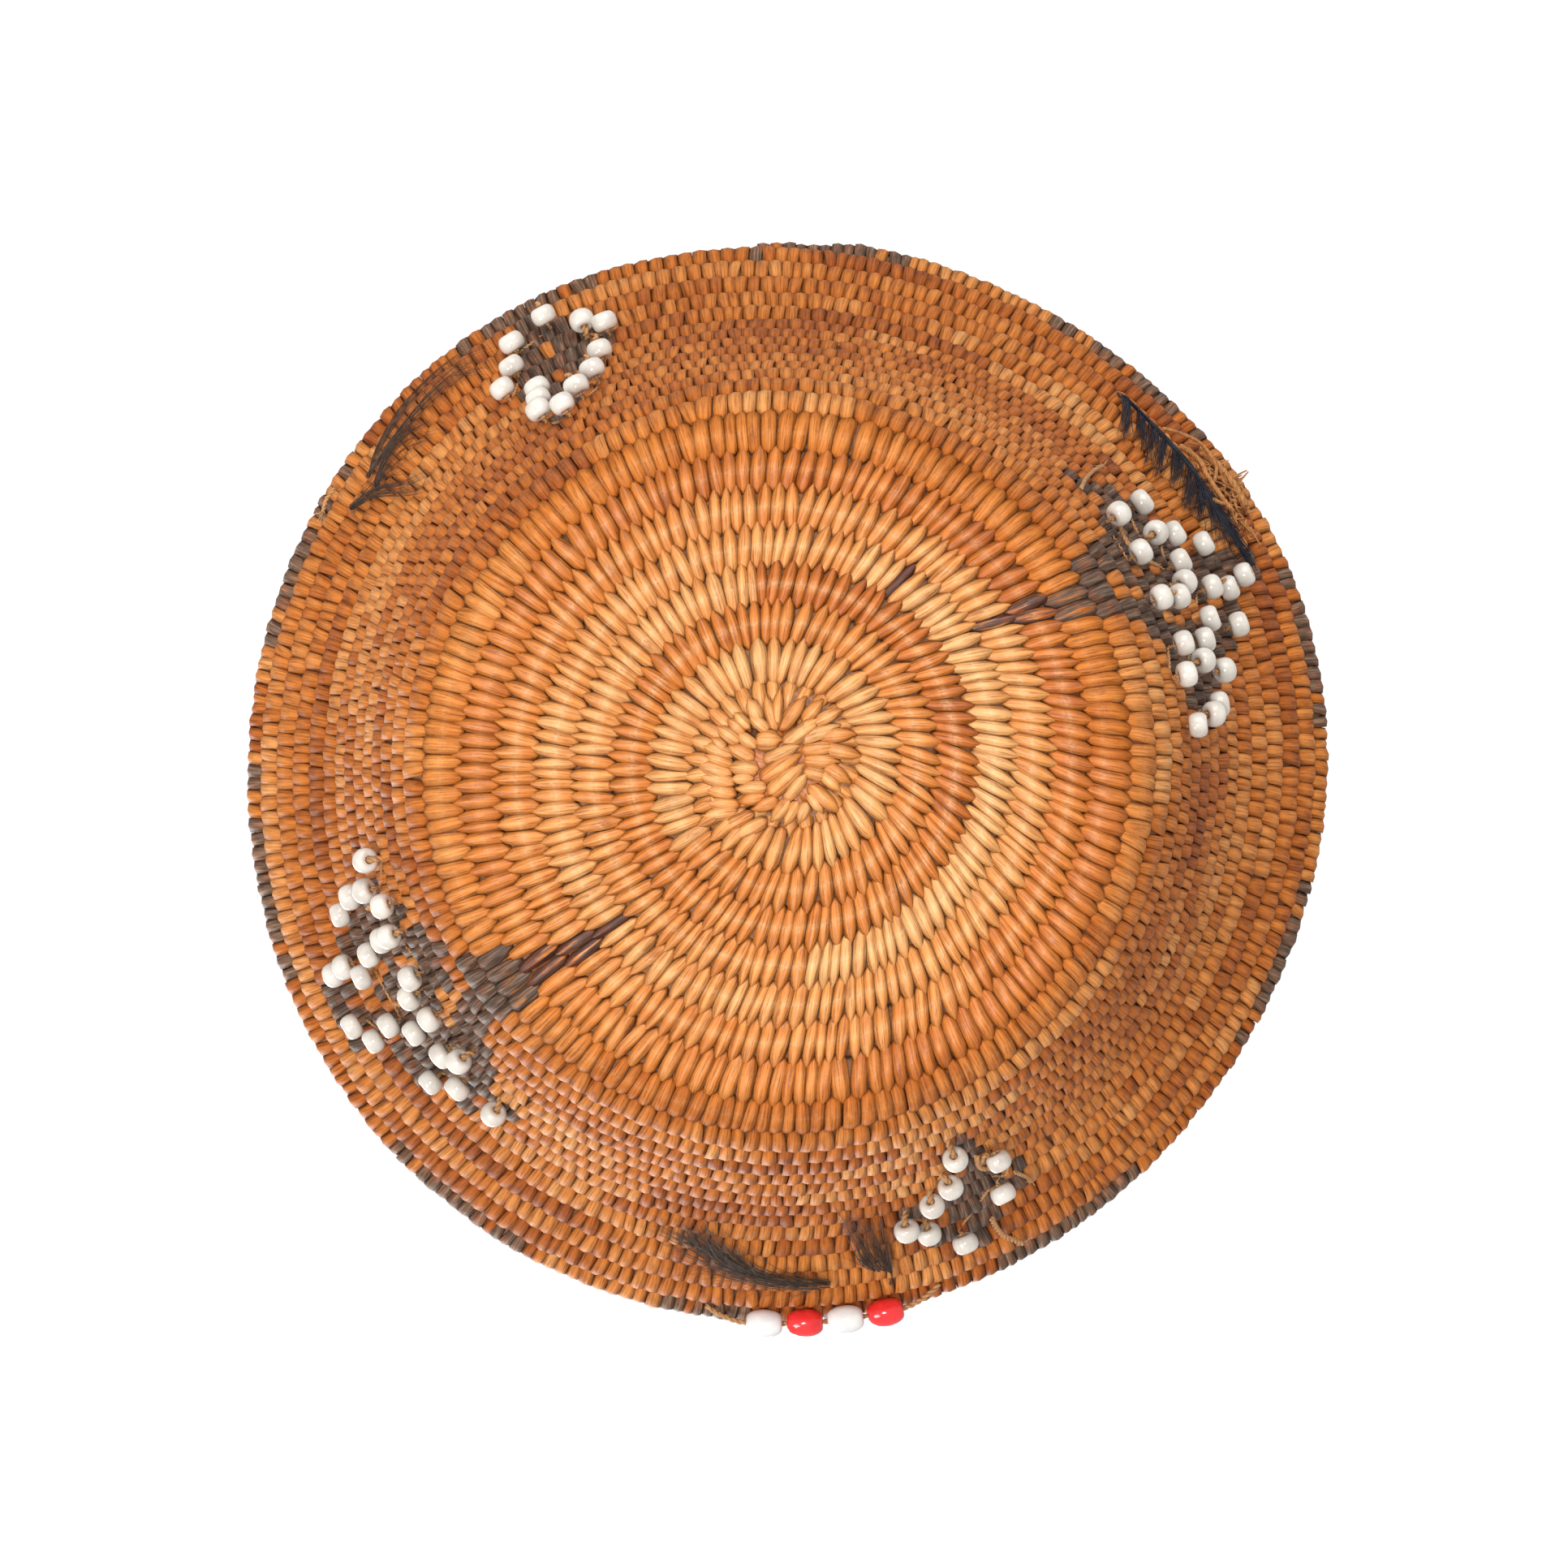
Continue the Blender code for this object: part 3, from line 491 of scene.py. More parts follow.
# Shares of speckles and fine fibres in the scuffs that mottle the worn crests and their painted highlight,
# of broad and fine ones in the dye's edge, and of fine and broad ones and speckles in the relief
SHEEN_SCUFF_SHARES = (0.65, 0.35)
DYE_SHARES = (0.7, 0.3)
RELIEF_SHARES = (0.8, 0.6, 0.35)
SHEEN_SCUFF_LEVEL = 0.38
SHEEN_SCUFF_SHARPNESS = 5.0
DYE_SHARPNESS = 16.0
ROUGH_BY_FIBRE = 0.16
GLOSS_LEVEL = 0.62
# Relief: its strength, and its depth
STRAND_RELIEF = (0.75, 0.07 * MM)
FIBRE_RELIEF = (0.5, 0.04 * MM)
# Pale colour of the worn crests: wear and a painted highlight together
WORN_CREST_AND_HIGHLIGHT = (0.82, 0.52, 0.27)
# Colours of the strands by tone, and what they are multiplied by along a strand and over its texture; the
# darkening at a strand's ends and in its creases is painted shade
TONES = (
    (0, (0.68, 0.34, 0.125)), (0.25, (0.63, 0.245, 0.064)), (0.5, (0.54, 0.168, 0.028)),
    (0.75, (0.42, 0.112, 0.017)), (1, (0.28, 0.07, 0.015)),
)
# Along a strand: painted shade at both ends, where they sink between the rows, and a more olive outer part
END_SHADE_ALONG_STRAND = (
    (0.04, (0.8, 0.7, 0.62)), (0.14, (0.98, 0.96, 0.94)), (0.3, (1.02, 1.01, 1)),
    (0.6, (1.03, 1.04, 1.02)), (0.8, (0.9, 0.9, 0.84)), (0.98, (0.76, 0.73, 0.62)),
)
FINE_FIBRES = ((0.34, (0.5, 0.4, 0.32)), (0.5, (1, 1, 1)), (0.66, (1.25, 1.25, 1.23)))
BROAD_FIBRES = ((0.3, (0.82, 0.77, 0.72)), (0.55, (1.05, 1.05, 1.05)), (0.75, (1.16, 1.14, 1.1)))
# Painted shade in the creases between neighbouring stitches, darkest at a strand's edge
CREASE_SHADE = ((0.86, (1, 1, 1)), (0.95, (0.84, 0.78, 0.72)), (1, (0.4, 0.27, 0.2)))
DYE_SHIFT = ((0.36, (0.84, 0.9, 0.96)), (0.5, (1, 0.98, 0.96)), (0.64, (1.42, 1.04, 0.86)))
CHARCOAL = ((0.32, (0.04, 0.021, 0.013)), (0.52, (0.118, 0.069, 0.046)), (0.7, (0.28, 0.178, 0.122)))
DARK_BROWN = ((0.32, (0.03, 0.011, 0.007)), (0.52, (0.08, 0.031, 0.019)), (0.72, (0.19, 0.085, 0.052)))
GREY_BROWN = ((0.32, (0.068, 0.036, 0.021)), (0.52, (0.172, 0.094, 0.056)), (0.7, (0.35, 0.21, 0.135)))
FLOOR_PAINT = ((0.3, (0.80, 0.80, 0.79)), (0.7, (0.84, 0.84, 0.83)))
# Strands: dye, roughness, gloss, brightness and specular level
STRAND_LOOKS = {
    "base_strand": (DARK_BROWN, 0.24, 0.6, 0.92, 0.36),
    "wall_strand": (CHARCOAL, 0.38, 0.4, 0.86, 0.14),
    "rim_strand": (GREY_BROWN, 0.42, 0.3, 0.90, 0.12),
}
# Tiles of the map for baked textures: their margin, and how much wider than high a sheet of them is
TILE_MARGIN = 0.06
TILE_SHAPE = 1.6
# How far a strand's own shift moves its fibres along it, for each mm across
ALONG_SHIFT = 1.7
# Plain fibres: dark and light colour, scale of the mottling and roughness
PLAIN_FIBRES = {
    # The filling's dark brown is partly painted shade, to match the shaded gaps between stitches where it
    # shows
    "filling": ((0.14, 0.058, 0.025), (0.34, 0.15, 0.065), 2500, 0.7),
    "thread": ((0.28, 0.13, 0.045), (0.54, 0.28, 0.11), 3500, 0.65),
    "golden_thread": ((0.24, 0.085, 0.02), (0.56, 0.24, 0.065), 2600, 0.6),
    "feather": ((0.014, 0.008, 0.005), (0.1, 0.054, 0.03), 1800, 0.5),
    "blue_feather": ((0.004, 0.005, 0.012), (0.02, 0.022, 0.035), 1800, 0.4),
}
# Their mottling's detail and roughness, where its colours lie, and how much rougher it makes them
MOTTLING = (4.0, 0.65)
MOTTLING_STOPS = (0.3, 0.7)
ROUGH_BY_MOTTLING = 0.2
# Glass: deep and pale colour, roughness, and how much light goes on inside
GLASSES = {
    "milk": ((0.56, 0.51, 0.45), (0.68, 0.635, 0.57), 0.12, 0.7),
    "white": ((0.7, 0.68, 0.66), (0.8, 0.785, 0.765), 0.1, 0.4),
    "red": ((0.66, 0.018, 0.02), (0.84, 0.032, 0.034), 0.08, 0.15),
}
# Its clouds: scale, detail and roughness, where their colours lie, and how much rougher they make it
CLOUDS = (900.0, 3.0, 0.5)
CLOUD_STOPS = (0.3, 0.65)
ROUGH_BY_CLOUD = 0.12
GLASS_DEPTH = 0.7 * MM
# The floor: half its width, how far below the basket it lies, and the scale of its mottling
FLOOR_REACH = 1.2
FLOOR_DROP = 0.05 * MM
FLOOR_SCALE = 40.0
# The surroundings' light, and how much brighter they are for the camera
WORLD_POWER = 0.63
WORLD_FOR_CAMERA = 0.42
# The point that the lights face
AIM = (0.0, 0.0, 0.02)
# Lights: name, place and size in metres, and power in watts
LIGHTS = (
    ("front", (0.06, -0.05, -0.8), 0.11, 2.9),
    ("key", (0.36, -0.32, -0.55), 0.3, 3.3),
    ("fill", (-0.08, 0.55, -0.45), 0.5, 3.4),
    ("above", (0.25, -0.35, 0.6), 0.5, 5),
)


def looked_up(table, places):
    """Values at some places, between the rows of a table of places and values."""
    return np.interp(places, *zip(*table))


def running(steps):
    """Running sum of some steps, from nought."""
    return np.concatenate(([0.0], np.cumsum(steps)))


def held(values):
    """Values kept between 0 and 1."""
    return np.clip(values, 0.0, 1.0)


def slope_at(rows):
    """Slope of the wall, in radians, at rows above the base."""
    slopes = [(row, math.radians(slope)) for row, slope in WALL_SLOPES]
    return np.where(np.asarray(rows) <= 0.0, 0.0, looked_up(slopes, rows))


def wall_profile():
    """Rows above the base in fine steps, with the coil's distance from the axis and its height."""
    count = int((COIL_END - BASE_TURNS + 1.0) * PROFILE_STEPS)
    slopes = slope_at((np.arange(count) + 0.5) / PROFILE_STEPS)
    step = ROW_PITCH / PROFILE_STEPS
    radii = BASE_TURNS * ROW_PITCH + running(np.cos(slopes) * step)
    heights = COIL_CENTRE_HEIGHT + running(np.sin(slopes) * step)
    return np.arange(count + 1) / PROFILE_STEPS, radii, heights


PROFILE_ROWS, PROFILE_RADII, PROFILE_HEIGHTS = wall_profile()


def coil_distance(turns):
    """Distance of the coil from the axis after some turns."""
    turns = np.asarray(turns, float)
    rows = turns - BASE_TURNS
    return np.where(rows <= 0.0, turns * ROW_PITCH, np.interp(rows, PROFILE_ROWS, PROFILE_RADII))


def frame_at(turns, angle):
    """Points on the coil's middle surface, with the directions up the wall, out of it and along it."""
    angle = np.asarray(angle, float)
    rows = np.asarray(turns, float) - BASE_TURNS
    radius = coil_distance(turns)
    height = np.interp(rows, PROFILE_ROWS, PROFILE_HEIGHTS)
    rise = np.maximum(rows, 0.0) / (COIL_END - BASE_TURNS)
    for lobes, depth, direction in RIM_LOBES:
        radius = radius + rise * depth * np.cos(lobes * (angle - direction))
    zero = np.zeros_like(radius)
    outward = np.stack((np.cos(angle) + zero, np.sin(angle) + zero, zero), axis=-1)
    upward = np.array((0.0, 0.0, 1.0))
    centre = outward * radius[..., None] + upward * height[..., None] + RIM_OFFSET * rise[..., None]
    slope = slope_at(rows)[..., None]
    up_wall = outward * np.cos(slope) + upward * np.sin(slope)
    out_wall = outward * np.sin(slope) - upward * np.cos(slope)
    along = np.stack((outward[..., 1], -outward[..., 0], zero), axis=-1)
    return centre, up_wall, out_wall, along


def photo_place(x, y):
    """Point on the base's underside at a pixel of the photograph."""
    return (-(x - PHOTO_MIDDLE) * PIXEL, CAMERA_SHIFT - (y - PHOTO_MIDDLE) * PIXEL, 0.0)


def coil_angle(turns):
    """Direction from the axis at which the coil lies after some turns."""
    return START_ANGLE - TURN * np.asarray(turns)


def view_angle(degrees):
    """Direction in the object's own frame of an angle in the photographed view."""
    return np.radians(VIEW_TURN - np.asarray(degrees))


def view_degrees(turns):
    """View angle at which the coil lies after some turns."""
    return np.mod(VIEW_TURN - np.degrees(coil_angle(turns)), 360.0)


def wall_place(degrees, rows, lift):
    """Point above the wall, with its directions, by view angle, rows above the base and lift."""
    centre, up_wall, out_wall, along = frame_at(BASE_TURNS + np.asarray(rows, float), view_angle(degrees))
    return centre + out_wall * np.asarray(lift)[..., None], up_wall, out_wall, along


def unit(vectors):
    """Vectors of length one."""
    return vectors / np.maximum(np.linalg.norm(vectors, axis=-1, keepdims=True), 1e-12)


def lengths_along(path):
    """Length of a path up to each of its points."""
    return running(np.linalg.norm(np.diff(path, axis=0), axis=1))


def between(path, known, wanted):
    """Points of a path at wanted places, by the known places of its points."""
    return np.stack([np.interp(wanted, known, column) for column in path.T], axis=-1)


def resample(path, spacing):
    """Points at even spacing along a path."""
    path = np.asarray(path, float)
    lengths = lengths_along(path)
    count = max(int(lengths[-1] / spacing), 2)
    return between(path, lengths, np.linspace(0.0, lengths[-1], count + 1))


def smooth_path(points, steps):
    """Points on a smooth curve through a few chosen points."""
    points = np.asarray(points, float)
    last = len(points) - 1
    path = []
    for index in range(last * steps + 1):
        low = min(index // steps, last - 1)
        share = index / steps - low
        a, b, c, d = (points[min(max(low + step, 0), last)] for step in (-1, 0, 1, 2))
        line = 2.0 * b + (c - a) * share
        curve = (2.0 * a - 5.0 * b + 4.0 * c - d) * share**2
        bend = (3.0 * b - a - 3.0 * c + d) * share**3
        path.append((line + curve + bend) / 2.0)
    return np.array(path)


def any_side(direction):
    """Some direction at right angles to another."""
    return np.array(Vector(direction).orthogonal().normalized())


def frames_along(path):
    """Two directions across a path at each of its points, turned as little as they can be."""
    ahead = unit(np.gradient(path, axis=0))
    side = any_side(ahead[0])
    frames = []
    for direction in ahead:
        side = unit(side - direction * side.dot(direction))
        frames.append((side, np.cross(direction, side)))
    return frames


def around(first, second, sides):
    """Directions once round, from one direction by way of a second."""
    turns = TURN * np.arange(sides) / sides
    return np.cos(turns)[:, None] * first + np.sin(turns)[:, None] * second


def grid_faces(grid):
    """Faces between the neighbours on grids of point numbers that close on themselves."""
    after = np.roll(grid, -1, axis=-2)
    return np.stack((grid, np.roll(grid, -1, axis=-1), np.roll(after, -1, axis=-1), after), axis=-1)


def place_object(name, data, place=(0.0, 0.0, 0.0)):
    """A new object in the scene at its place."""
    made = bpy.data.objects.new(name, data)
    made.location = place
    bpy.context.scene.collection.objects.link(made)
    return made


def add_piece(mesh, name, nodes, body=BODY):
    """A smooth mesh as a piece, on its body and in place of CAD nodes."""
    mesh.polygons.foreach_set("use_smooth", [True] * len(mesh.polygons))
    mesh.update()
    made = place_object(name, mesh)
    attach(made, body)
    if nodes:
        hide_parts(*nodes)


class Shape:
    """Points and faces of a piece, with a material number for each face."""

    def __init__(self):
        self.points = []
        self.faces = []
        self.finishes = []
        self.count = 0

    def add_rings(self, rings, finish=0, closed=False):
        """Put in rings of points that are joined in turn, and round to the first or with capped ends."""
        rings = np.asarray(rings, float)
        count, sides = rings.shape[:2]
        grid = self.count + np.arange(count * sides).reshape(count, sides)
        faces = grid_faces(grid)[: count if closed else count - 1].reshape(-1, 4).tolist()
        if not closed:
            faces += [grid[0, ::-1].tolist(), grid[-1].tolist()]
        self.points.append(rings.reshape(-1, 3))
        self.count += count * sides
        self.faces += faces
        self.finishes += [finish] * len(faces)

    def tube(self, path, radii, sides=6, finish=0):
        """A tube along a path, closed at both ends."""
        path = np.asarray(path, float)
        radii = np.broadcast_to(np.asarray(radii, float), (len(path),))
        parts = zip(path, frames_along(path), radii)
        self.add_rings([point + around(*pair, sides) * radius for point, pair, radius in parts], finish)

    def twist(self, path, radius, pitch, plies=2, sides=6, finish=0, start=0.0):
        """A twisted thread along a path."""
        path = resample(path, pitch / TWIST_STEPS)
        ply = radius * PLY_SHARE
        places = list(zip(path, frames_along(path), lengths_along(path)))
        for number in range(plies):
            points = []
            for point, (first, second), length in places:
                turn = start + TURN * (length / pitch + number / plies)
                points.append(point + (first * math.cos(turn) + second * math.sin(turn)) * (radius - ply))
            self.tube(points, ply, sides, finish)

    def turned(self, profile, sides, centre, axis):
        """A closed turned ring: each profile point is a distance from the axis and a place along it."""
        axis = unit(np.asarray(axis, float))
        side = any_side(axis)
        circle = around(side, np.cross(axis, side), sides)
        self.add_rings([centre + circle * radius + axis * place for radius, place in profile], closed=True)

    def make(self, name, materials, nodes=(), body=BODY):
        """Turn it into an object that rides on a body."""
        mesh = bpy.data.meshes.new(name)
        mesh.from_pydata(np.concatenate(self.points).tolist(), [], self.faces)
        for finish in materials:
            mesh.materials.append(finish)
        mesh.polygons.foreach_set("material_index", self.finishes)
        add_piece(mesh, name, nodes, body)


def seed_lift(degrees, rows, tilt):
    """Least height over the wall at which a seed bead clears the rows of coil under it."""
    steps = np.arange(OUTLINE_STEPS + 1) / OUTLINE_STEPS
    shares = np.concatenate((-steps[:0:-1], steps))
    along = np.append(SEED_LENGTH / 2 * shares, np.full(OUTLINE_STEPS, -SEED_LENGTH / 2))
    sides = 1.0 - (1.0 - SEED_END_SHARE) * np.abs(shares)
    radius = SEED_DIAMETER / 2 * np.append(sides, SEED_END_SHARE * steps[:-1])
    side = np.stack((-radius, radius))
    lean = math.radians(tilt)
    up = along * math.sin(lean) + side * math.cos(lean)
    out = along * math.cos(lean) - side * math.sin(lean)
    turns = (coil_angle(BASE_TURNS + rows) - view_angle(degrees)) / TURN
    nearest = (turns - round(float(turns))) * ROW_PITCH
    reach = COIL_RADIUS + TOUCH_GAP
    lift = 0.0
    for row in (nearest - ROW_PITCH, nearest, nearest + ROW_PITCH):
        over = np.sqrt(np.maximum(reach**2 - (up - row) ** 2, 0.0)) - out
        lift = max(lift, float(over[np.abs(up - row) < reach].max(initial=0.0)))
    return lift


def stitch_lean(turns):
    """Sideways lean of a stitch, in radians: more on the base's right than elsewhere."""
    on_base = held((BASE_TURNS + LEAN_FADE / 2 - np.asarray(turns)) / LEAN_FADE)
    strong = BASE_LEAN + LEAN_SWING * np.cos(np.radians(view_degrees(turns) - MOST_LEAN_AT))
    return np.radians(on_base * strong + (1.0 - on_base) * WALL_LEAN)


def stitch_width(turns):
    """Usual width of a stitch after some turns of the coil."""
    return float(looked_up(STITCH_WIDTHS, turns)) * MM


def stitch_places():
    """Turns at which the stitches sit: each between two stitches of the row before."""
    places = [FIRST_STITCH]
    while places[-1] < FIRST_STITCH + FIRST_RING:
        distance = TURN * float(coil_distance(places[-1]))
        places.append(places[-1] + stitch_width(places[-1]) / distance)
    parent = 0
    debt = 0.0
    while True:
        middle = (places[parent] + places[parent + 1]) / 2.0
        parent += 1
        slant = math.tan(float(stitch_lean(middle))) + math.tan(float(stitch_lean(middle + 1.0)))
        turns = middle + 1.0 - JOIN_REACH * slant / (TURN * float(coil_distance(middle + 0.5)))
        share = (turns - places[-1]) * TURN * float(coil_distance(turns)) / stitch_width(turns)
        if turns > COIL_END:
            return np.array(places)
        if share < SKIP_SHARE or (debt < -DEBT and share < 1.0):
            continue
        debt += share - 1.0
        if debt > DEBT and share > ADD_SHARE:
            places.append((places[-1] + turns) / 2.0)
            debt -= 1.0
        places.append(turns)
        for index in range(-2, -2 - RELAXED, -1):
            beside = (places[index - 1] + places[index + 1]) / 2.0
            places[index] += (beside - places[index]) * RELAXING


def dark_share(degrees, rows, turns):
    """How dark a stitch is: none, streaky or all."""
    if turns > COIL_END - 1.0:
        return max((1.0 for low, high in RIM_RUNS if low <= degrees <= high), default=0.0)
    for lowest, shares, lines in FIGURES:
        row = round(rows - lowest)
        ends = lines[row] if 0 <= row < len(lines) else ()
        if any(low <= degrees <= high for low, high in zip(ends[::2], ends[1::2])):
            return shares[row] if row < len(shares) else 1.0
    return 0.0


def stitch_tones(places, rng):
    """Tone of each stitch, from pale tan to red-brown, in runs as one strand gives way to the next."""
    tones = np.zeros(len(places))
    left = 0
    for index, turns in enumerate(places):
        if left == 0:
            run = BASE_RUNS if turns < BASE_TURNS + 0.5 else WALL_RUNS
            fewest, most, spread, palest, darkest, jitter = run
            left = int(rng.integers(fewest, most))
            tone = np.clip(rng.normal(looked_up(TONE_RINGS, turns), spread), palest, darkest)
        left -= 1
        tones[index] = held(tone + rng.normal(0.0, jitter))
    return tones


def stitch_data(places, rng):
    """Shape and look of each stitch, by name."""
    count = len(places)
    degrees = view_degrees(places)
    rows = places - BASE_TURNS
    gaps = np.gradient(places) * TURN * coil_distance(places)
    return {
        "width": gaps * WIDTH_OF_GAP * (1.0 + rng.normal(0.0, WIDTH_SPREAD, count)),
        "crest": np.clip(rng.normal(0.0, CREST_SPREAD, count), *CREST_LIMITS) * MM,
        "tilt": rng.normal(0.0, TILT_SPREAD, count),
        "lean": np.radians(rng.normal(0.0, LEAN_SPREAD, count)),
        "offset": rng.uniform(0.0, STRAND_SHIFTS, count),
        "tone": stitch_tones(places, rng),
        "dark": np.array([dark_share(*place) for place in zip(degrees, rows, places)]),
        "wear_and_highlight": looked_up(CREST_WEAR_AND_HIGHLIGHT, rows),
        "glint_place": looked_up(GLINT_PLACES, rows),
    }


def end_taper(turns):
    """Share of its full thickness that the coil has near its end."""
    return np.clip((COIL_END - turns) * END_STEEPNESS, END_SHARE, 1.0)


def rim_share(turns):
    """How far the section has changed to the rim's, from 0 to 1."""
    return held((turns - (COIL_END - 1.0)) * RIM_QUICKNESS)


def add_stitches(name, places, first, last, data, finish, slot, nodes):
    """The sewn strands over one length of the coil, as closed loops round it."""
    chosen = np.where((places >= first) & (places < last))[0]
    values = {key: data[key][chosen] for key in data}
    turns = places[chosen]
    angles = coil_angle(turns)
    rows = turns - BASE_TURNS
    to_wall = held((rows - WALL_FROM) / WALL_OVER)[:, None]
    to_rim = rim_share(turns)[:, None]
    section = []
    for base, wall, rim in zip(*(np.array(part).T for part in (BASE_SECTION, WALL_SECTION, RIM_SECTION))):
        below_rim = base * (1.0 - to_wall) + wall * to_wall
        section.append(below_rim * (1.0 - to_rim) + rim * to_rim)
    up, out, share = section
    taper = end_taper(turns)[:, None]
    up = up * MM * taper - END_DROP * (1.0 - taper)
    out = out * MM * taper
    outer_side = np.where(np.arange(up.shape[1]) < OUTER_SAMPLES, 1.0, 0.0)
    out = out - outer_side * KNOT_DROP * held((KNOT_EDGE - turns) / KNOT_FADE)[:, None]
    # The crests differ in height, but none is higher on the base, which lies on the floor
    crest = values["crest"][:, None] * np.where(to_wall > 0.5, 1.0, BASE_CREST_SHARE)
    out = out + outer_side * np.minimum(crest, np.where(to_wall > LEVEL_UP_TO, np.inf, 0.0))
    around_coil = np.broadcast_to(angles[:, None], up.shape)
    centre, _, out_wall, _ = frame_at(turns[:, None] + up / ROW_PITCH, around_coil)
    along = frame_at(turns, angles)[-1]
    path = centre + out_wall * out[..., None]
    lean = np.tan(stitch_lean(turns) + values["lean"])[:, None]
    path = path - along[:, None, :] * (up * lean)[..., None]
    distance = np.maximum(coil_distance(turns), 1e-6)[:, None]
    further = distance + up * np.cos(slope_at(rows))[:, None]
    half = values["width"][:, None] * share * np.clip(further / distance, NARROWEST, WIDEST) / 2.0
    crown = BASE_CROWN + (WALL_CROWN - BASE_CROWN) * to_wall + (RIM_CROWN - WALL_CROWN) * to_rim
    crown = crown * (CROWN_LEAST + (1.0 - CROWN_LEAST) * share)
    strand_object(name, path, along, half, crown, up / MM, values, finish, slot, nodes)


def strand_object(name, path, along, half, crown, reach, values, finish, slot, nodes):
    """Closed bands along paths, crowned on the outside, with their maps and tones."""
    ahead = unit(np.roll(path, -1, axis=1) - np.roll(path, 1, axis=1))
    side = np.broadcast_to(along[:, None, :], path.shape)
    outward = unit(np.cross(side, ahead))
    across = np.array(ACROSS)
    height = np.array(CROWN_SHARES) * crown[..., None]
    height = height + across * half[..., None] * values["tilt"][:, None, None]
    height[..., -1] -= UNDER
    points = path[:, :, None, :] + side[:, :, None, :] * (across * half[..., None])[..., None]
    points = points + outward[:, :, None, :] * height[..., None]
    points[..., 2] = np.maximum(points[..., 2], 0.0)
    shape = points.shape[:3]
    mesh = bpy.data.meshes.new(name)
    faces = grid_faces(np.arange(math.prod(shape)).reshape(shape)).reshape(-1, 4)
    mesh.from_pydata(points.reshape(-1, 3).tolist(), [], faces.tolist())
    mesh.materials.append(finish)
    add_strand_map(mesh, path, half, values)
    add_bake_map(mesh, shape)
    # The painted highlight band along each crest, at its glint place, which also carries the crest's wear
    glint = held(1.0 - GLINT_FALL * np.abs(reach - values["glint_place"][:, None]))
    looks = {
        "tone": values["tone"][:, None, None],
        "dark": values["dark"][:, None, None],
        "reach": reach[:, :, None],
        "edge": np.abs(across),
        "wear_and_highlight": (glint * values["wear_and_highlight"][:, None])[:, :, None],
    }
    for key, look in looks.items():
        spread = np.broadcast_to(look, shape).reshape(-1)
        mesh.attributes.new(key, "FLOAT", "POINT").data.foreach_set("value", spread)
    add_piece(mesh, name, nodes)


def add_knot_strands(finish, rng):
    """The start of the basket: crossed strands over the middle, with short leaves round them."""
    count = len(KNOT_STRANDS)
    crossed = zip(KNOT_STRANDS, np.linspace(*KNOT_DEPTHS, count), rng.normal(*KNOT_TONES, count))
    strands = []
    for (x, y, to_x, to_y, width), depth, tone in crossed:
        strands.append((photo_place(x, y), photo_place(to_x, to_y), width, depth, tone, 1.0))
    for near, far, count, width, depth, tone, side in KNOT_RINGS:
        for turn in TURN * (np.arange(count) + rng.normal(0.0, RING_TURN_SPREAD, count)) / count:
            outward = np.array((math.cos(turn), math.sin(turn), 0.0))
            start = KNOT_CENTRE + outward * near * MM
            end = KNOT_CENTRE + outward * far * rng.uniform(*RING_REACH) * MM
            strands.append((start, end, width, depth, tone + rng.normal(0.0, RING_TONE_SPREAD), side))
    start, end, width, depth, tone, facing = (np.array(column) for column in zip(*strands))
    count = len(strands)
    width = width * KNOT_WIDEN * MM
    facing = facing[:, None]
    length = np.linalg.norm(end - start, axis=1)[:, None]
    ahead = unit(end - start)
    along = unit(np.cross(np.array((0.0, 0.0, -1.0)) * facing, ahead))
    section = np.array(BASE_SECTION)
    reach = section[:, 0] / section[:, 0].max()
    share = np.broadcast_to(np.maximum(section[:, 2], KNOT_LEAST_SHARE), (count, len(section)))
    middle = ((start + end) / 2.0)[:, None, :]
    path = middle + ahead[:, None, :] * (reach * length / 2.0)[..., None]
    dip = (depth[:, None] + KNOT_DIP * np.abs(reach) ** 3) * MM
    height = np.where(np.arange(len(section)) < OUTER_SAMPLES, dip, KNOT_THICKNESS) + BASE_CROWN
    path[..., 2] = np.where(facing > 0.0, height, INSIDE_TOP - height)
    values = {
        "tilt": rng.normal(0.0, KNOT_TILT_SPREAD, count),
        "offset": rng.uniform(0.0, STRAND_SHIFTS, count),
        "tone": held(tone),
        "dark": np.zeros(count),
        "width": width,
        "wear_and_highlight": np.full(count, KNOT_WEAR_AND_HIGHLIGHT),
        "glint_place": np.zeros(count),
    }
    half = width[:, None] * share / 2.0
    crown = np.full(share.shape, BASE_CROWN)
    reach = np.broadcast_to(section[:, 0], share.shape)
    look = (finish, "pale_strand", ["start_knot"])
    strand_object("start_knot_strands", path, along, half, crown, reach, values, *look)


def add_map(mesh, name, left, right, low, high):
    """A texture map, by the sides of each face's rectangle."""
    shape = np.broadcast_shapes(left.shape, low.shape)
    corners = (left, low, right, low, right, high, left, high)
    places = np.stack([np.broadcast_to(corner, shape) for corner in corners], axis=-1)
    mesh.uv_layers.new(name=name).data.foreach_set("uv", places.reshape(-1))


def add_strand_map(mesh, path, half, values):
    """A map in mm across and along each strand, moved by its own amount, that the fibres follow."""
    steps = np.linalg.norm(np.roll(path, -1, axis=1) - path, axis=-1)
    lengths = np.concatenate((np.zeros((len(path), 1)), np.cumsum(steps, axis=1)), axis=1) / MM
    across = np.array((*ACROSS[:-1], 2.0, 3.0))
    offset = values["offset"][:, None, None]
    reach = (np.repeat(values["width"][:, None], half.shape[1], axis=1) / 2.0 / MM)[..., None]
    sides = across * reach + offset
    ends = lengths[..., None] + offset * ALONG_SHIFT
    add_map(mesh, "Strand", sides[..., :-1], sides[..., 1:], ends[:, :-1], ends[:, 1:])


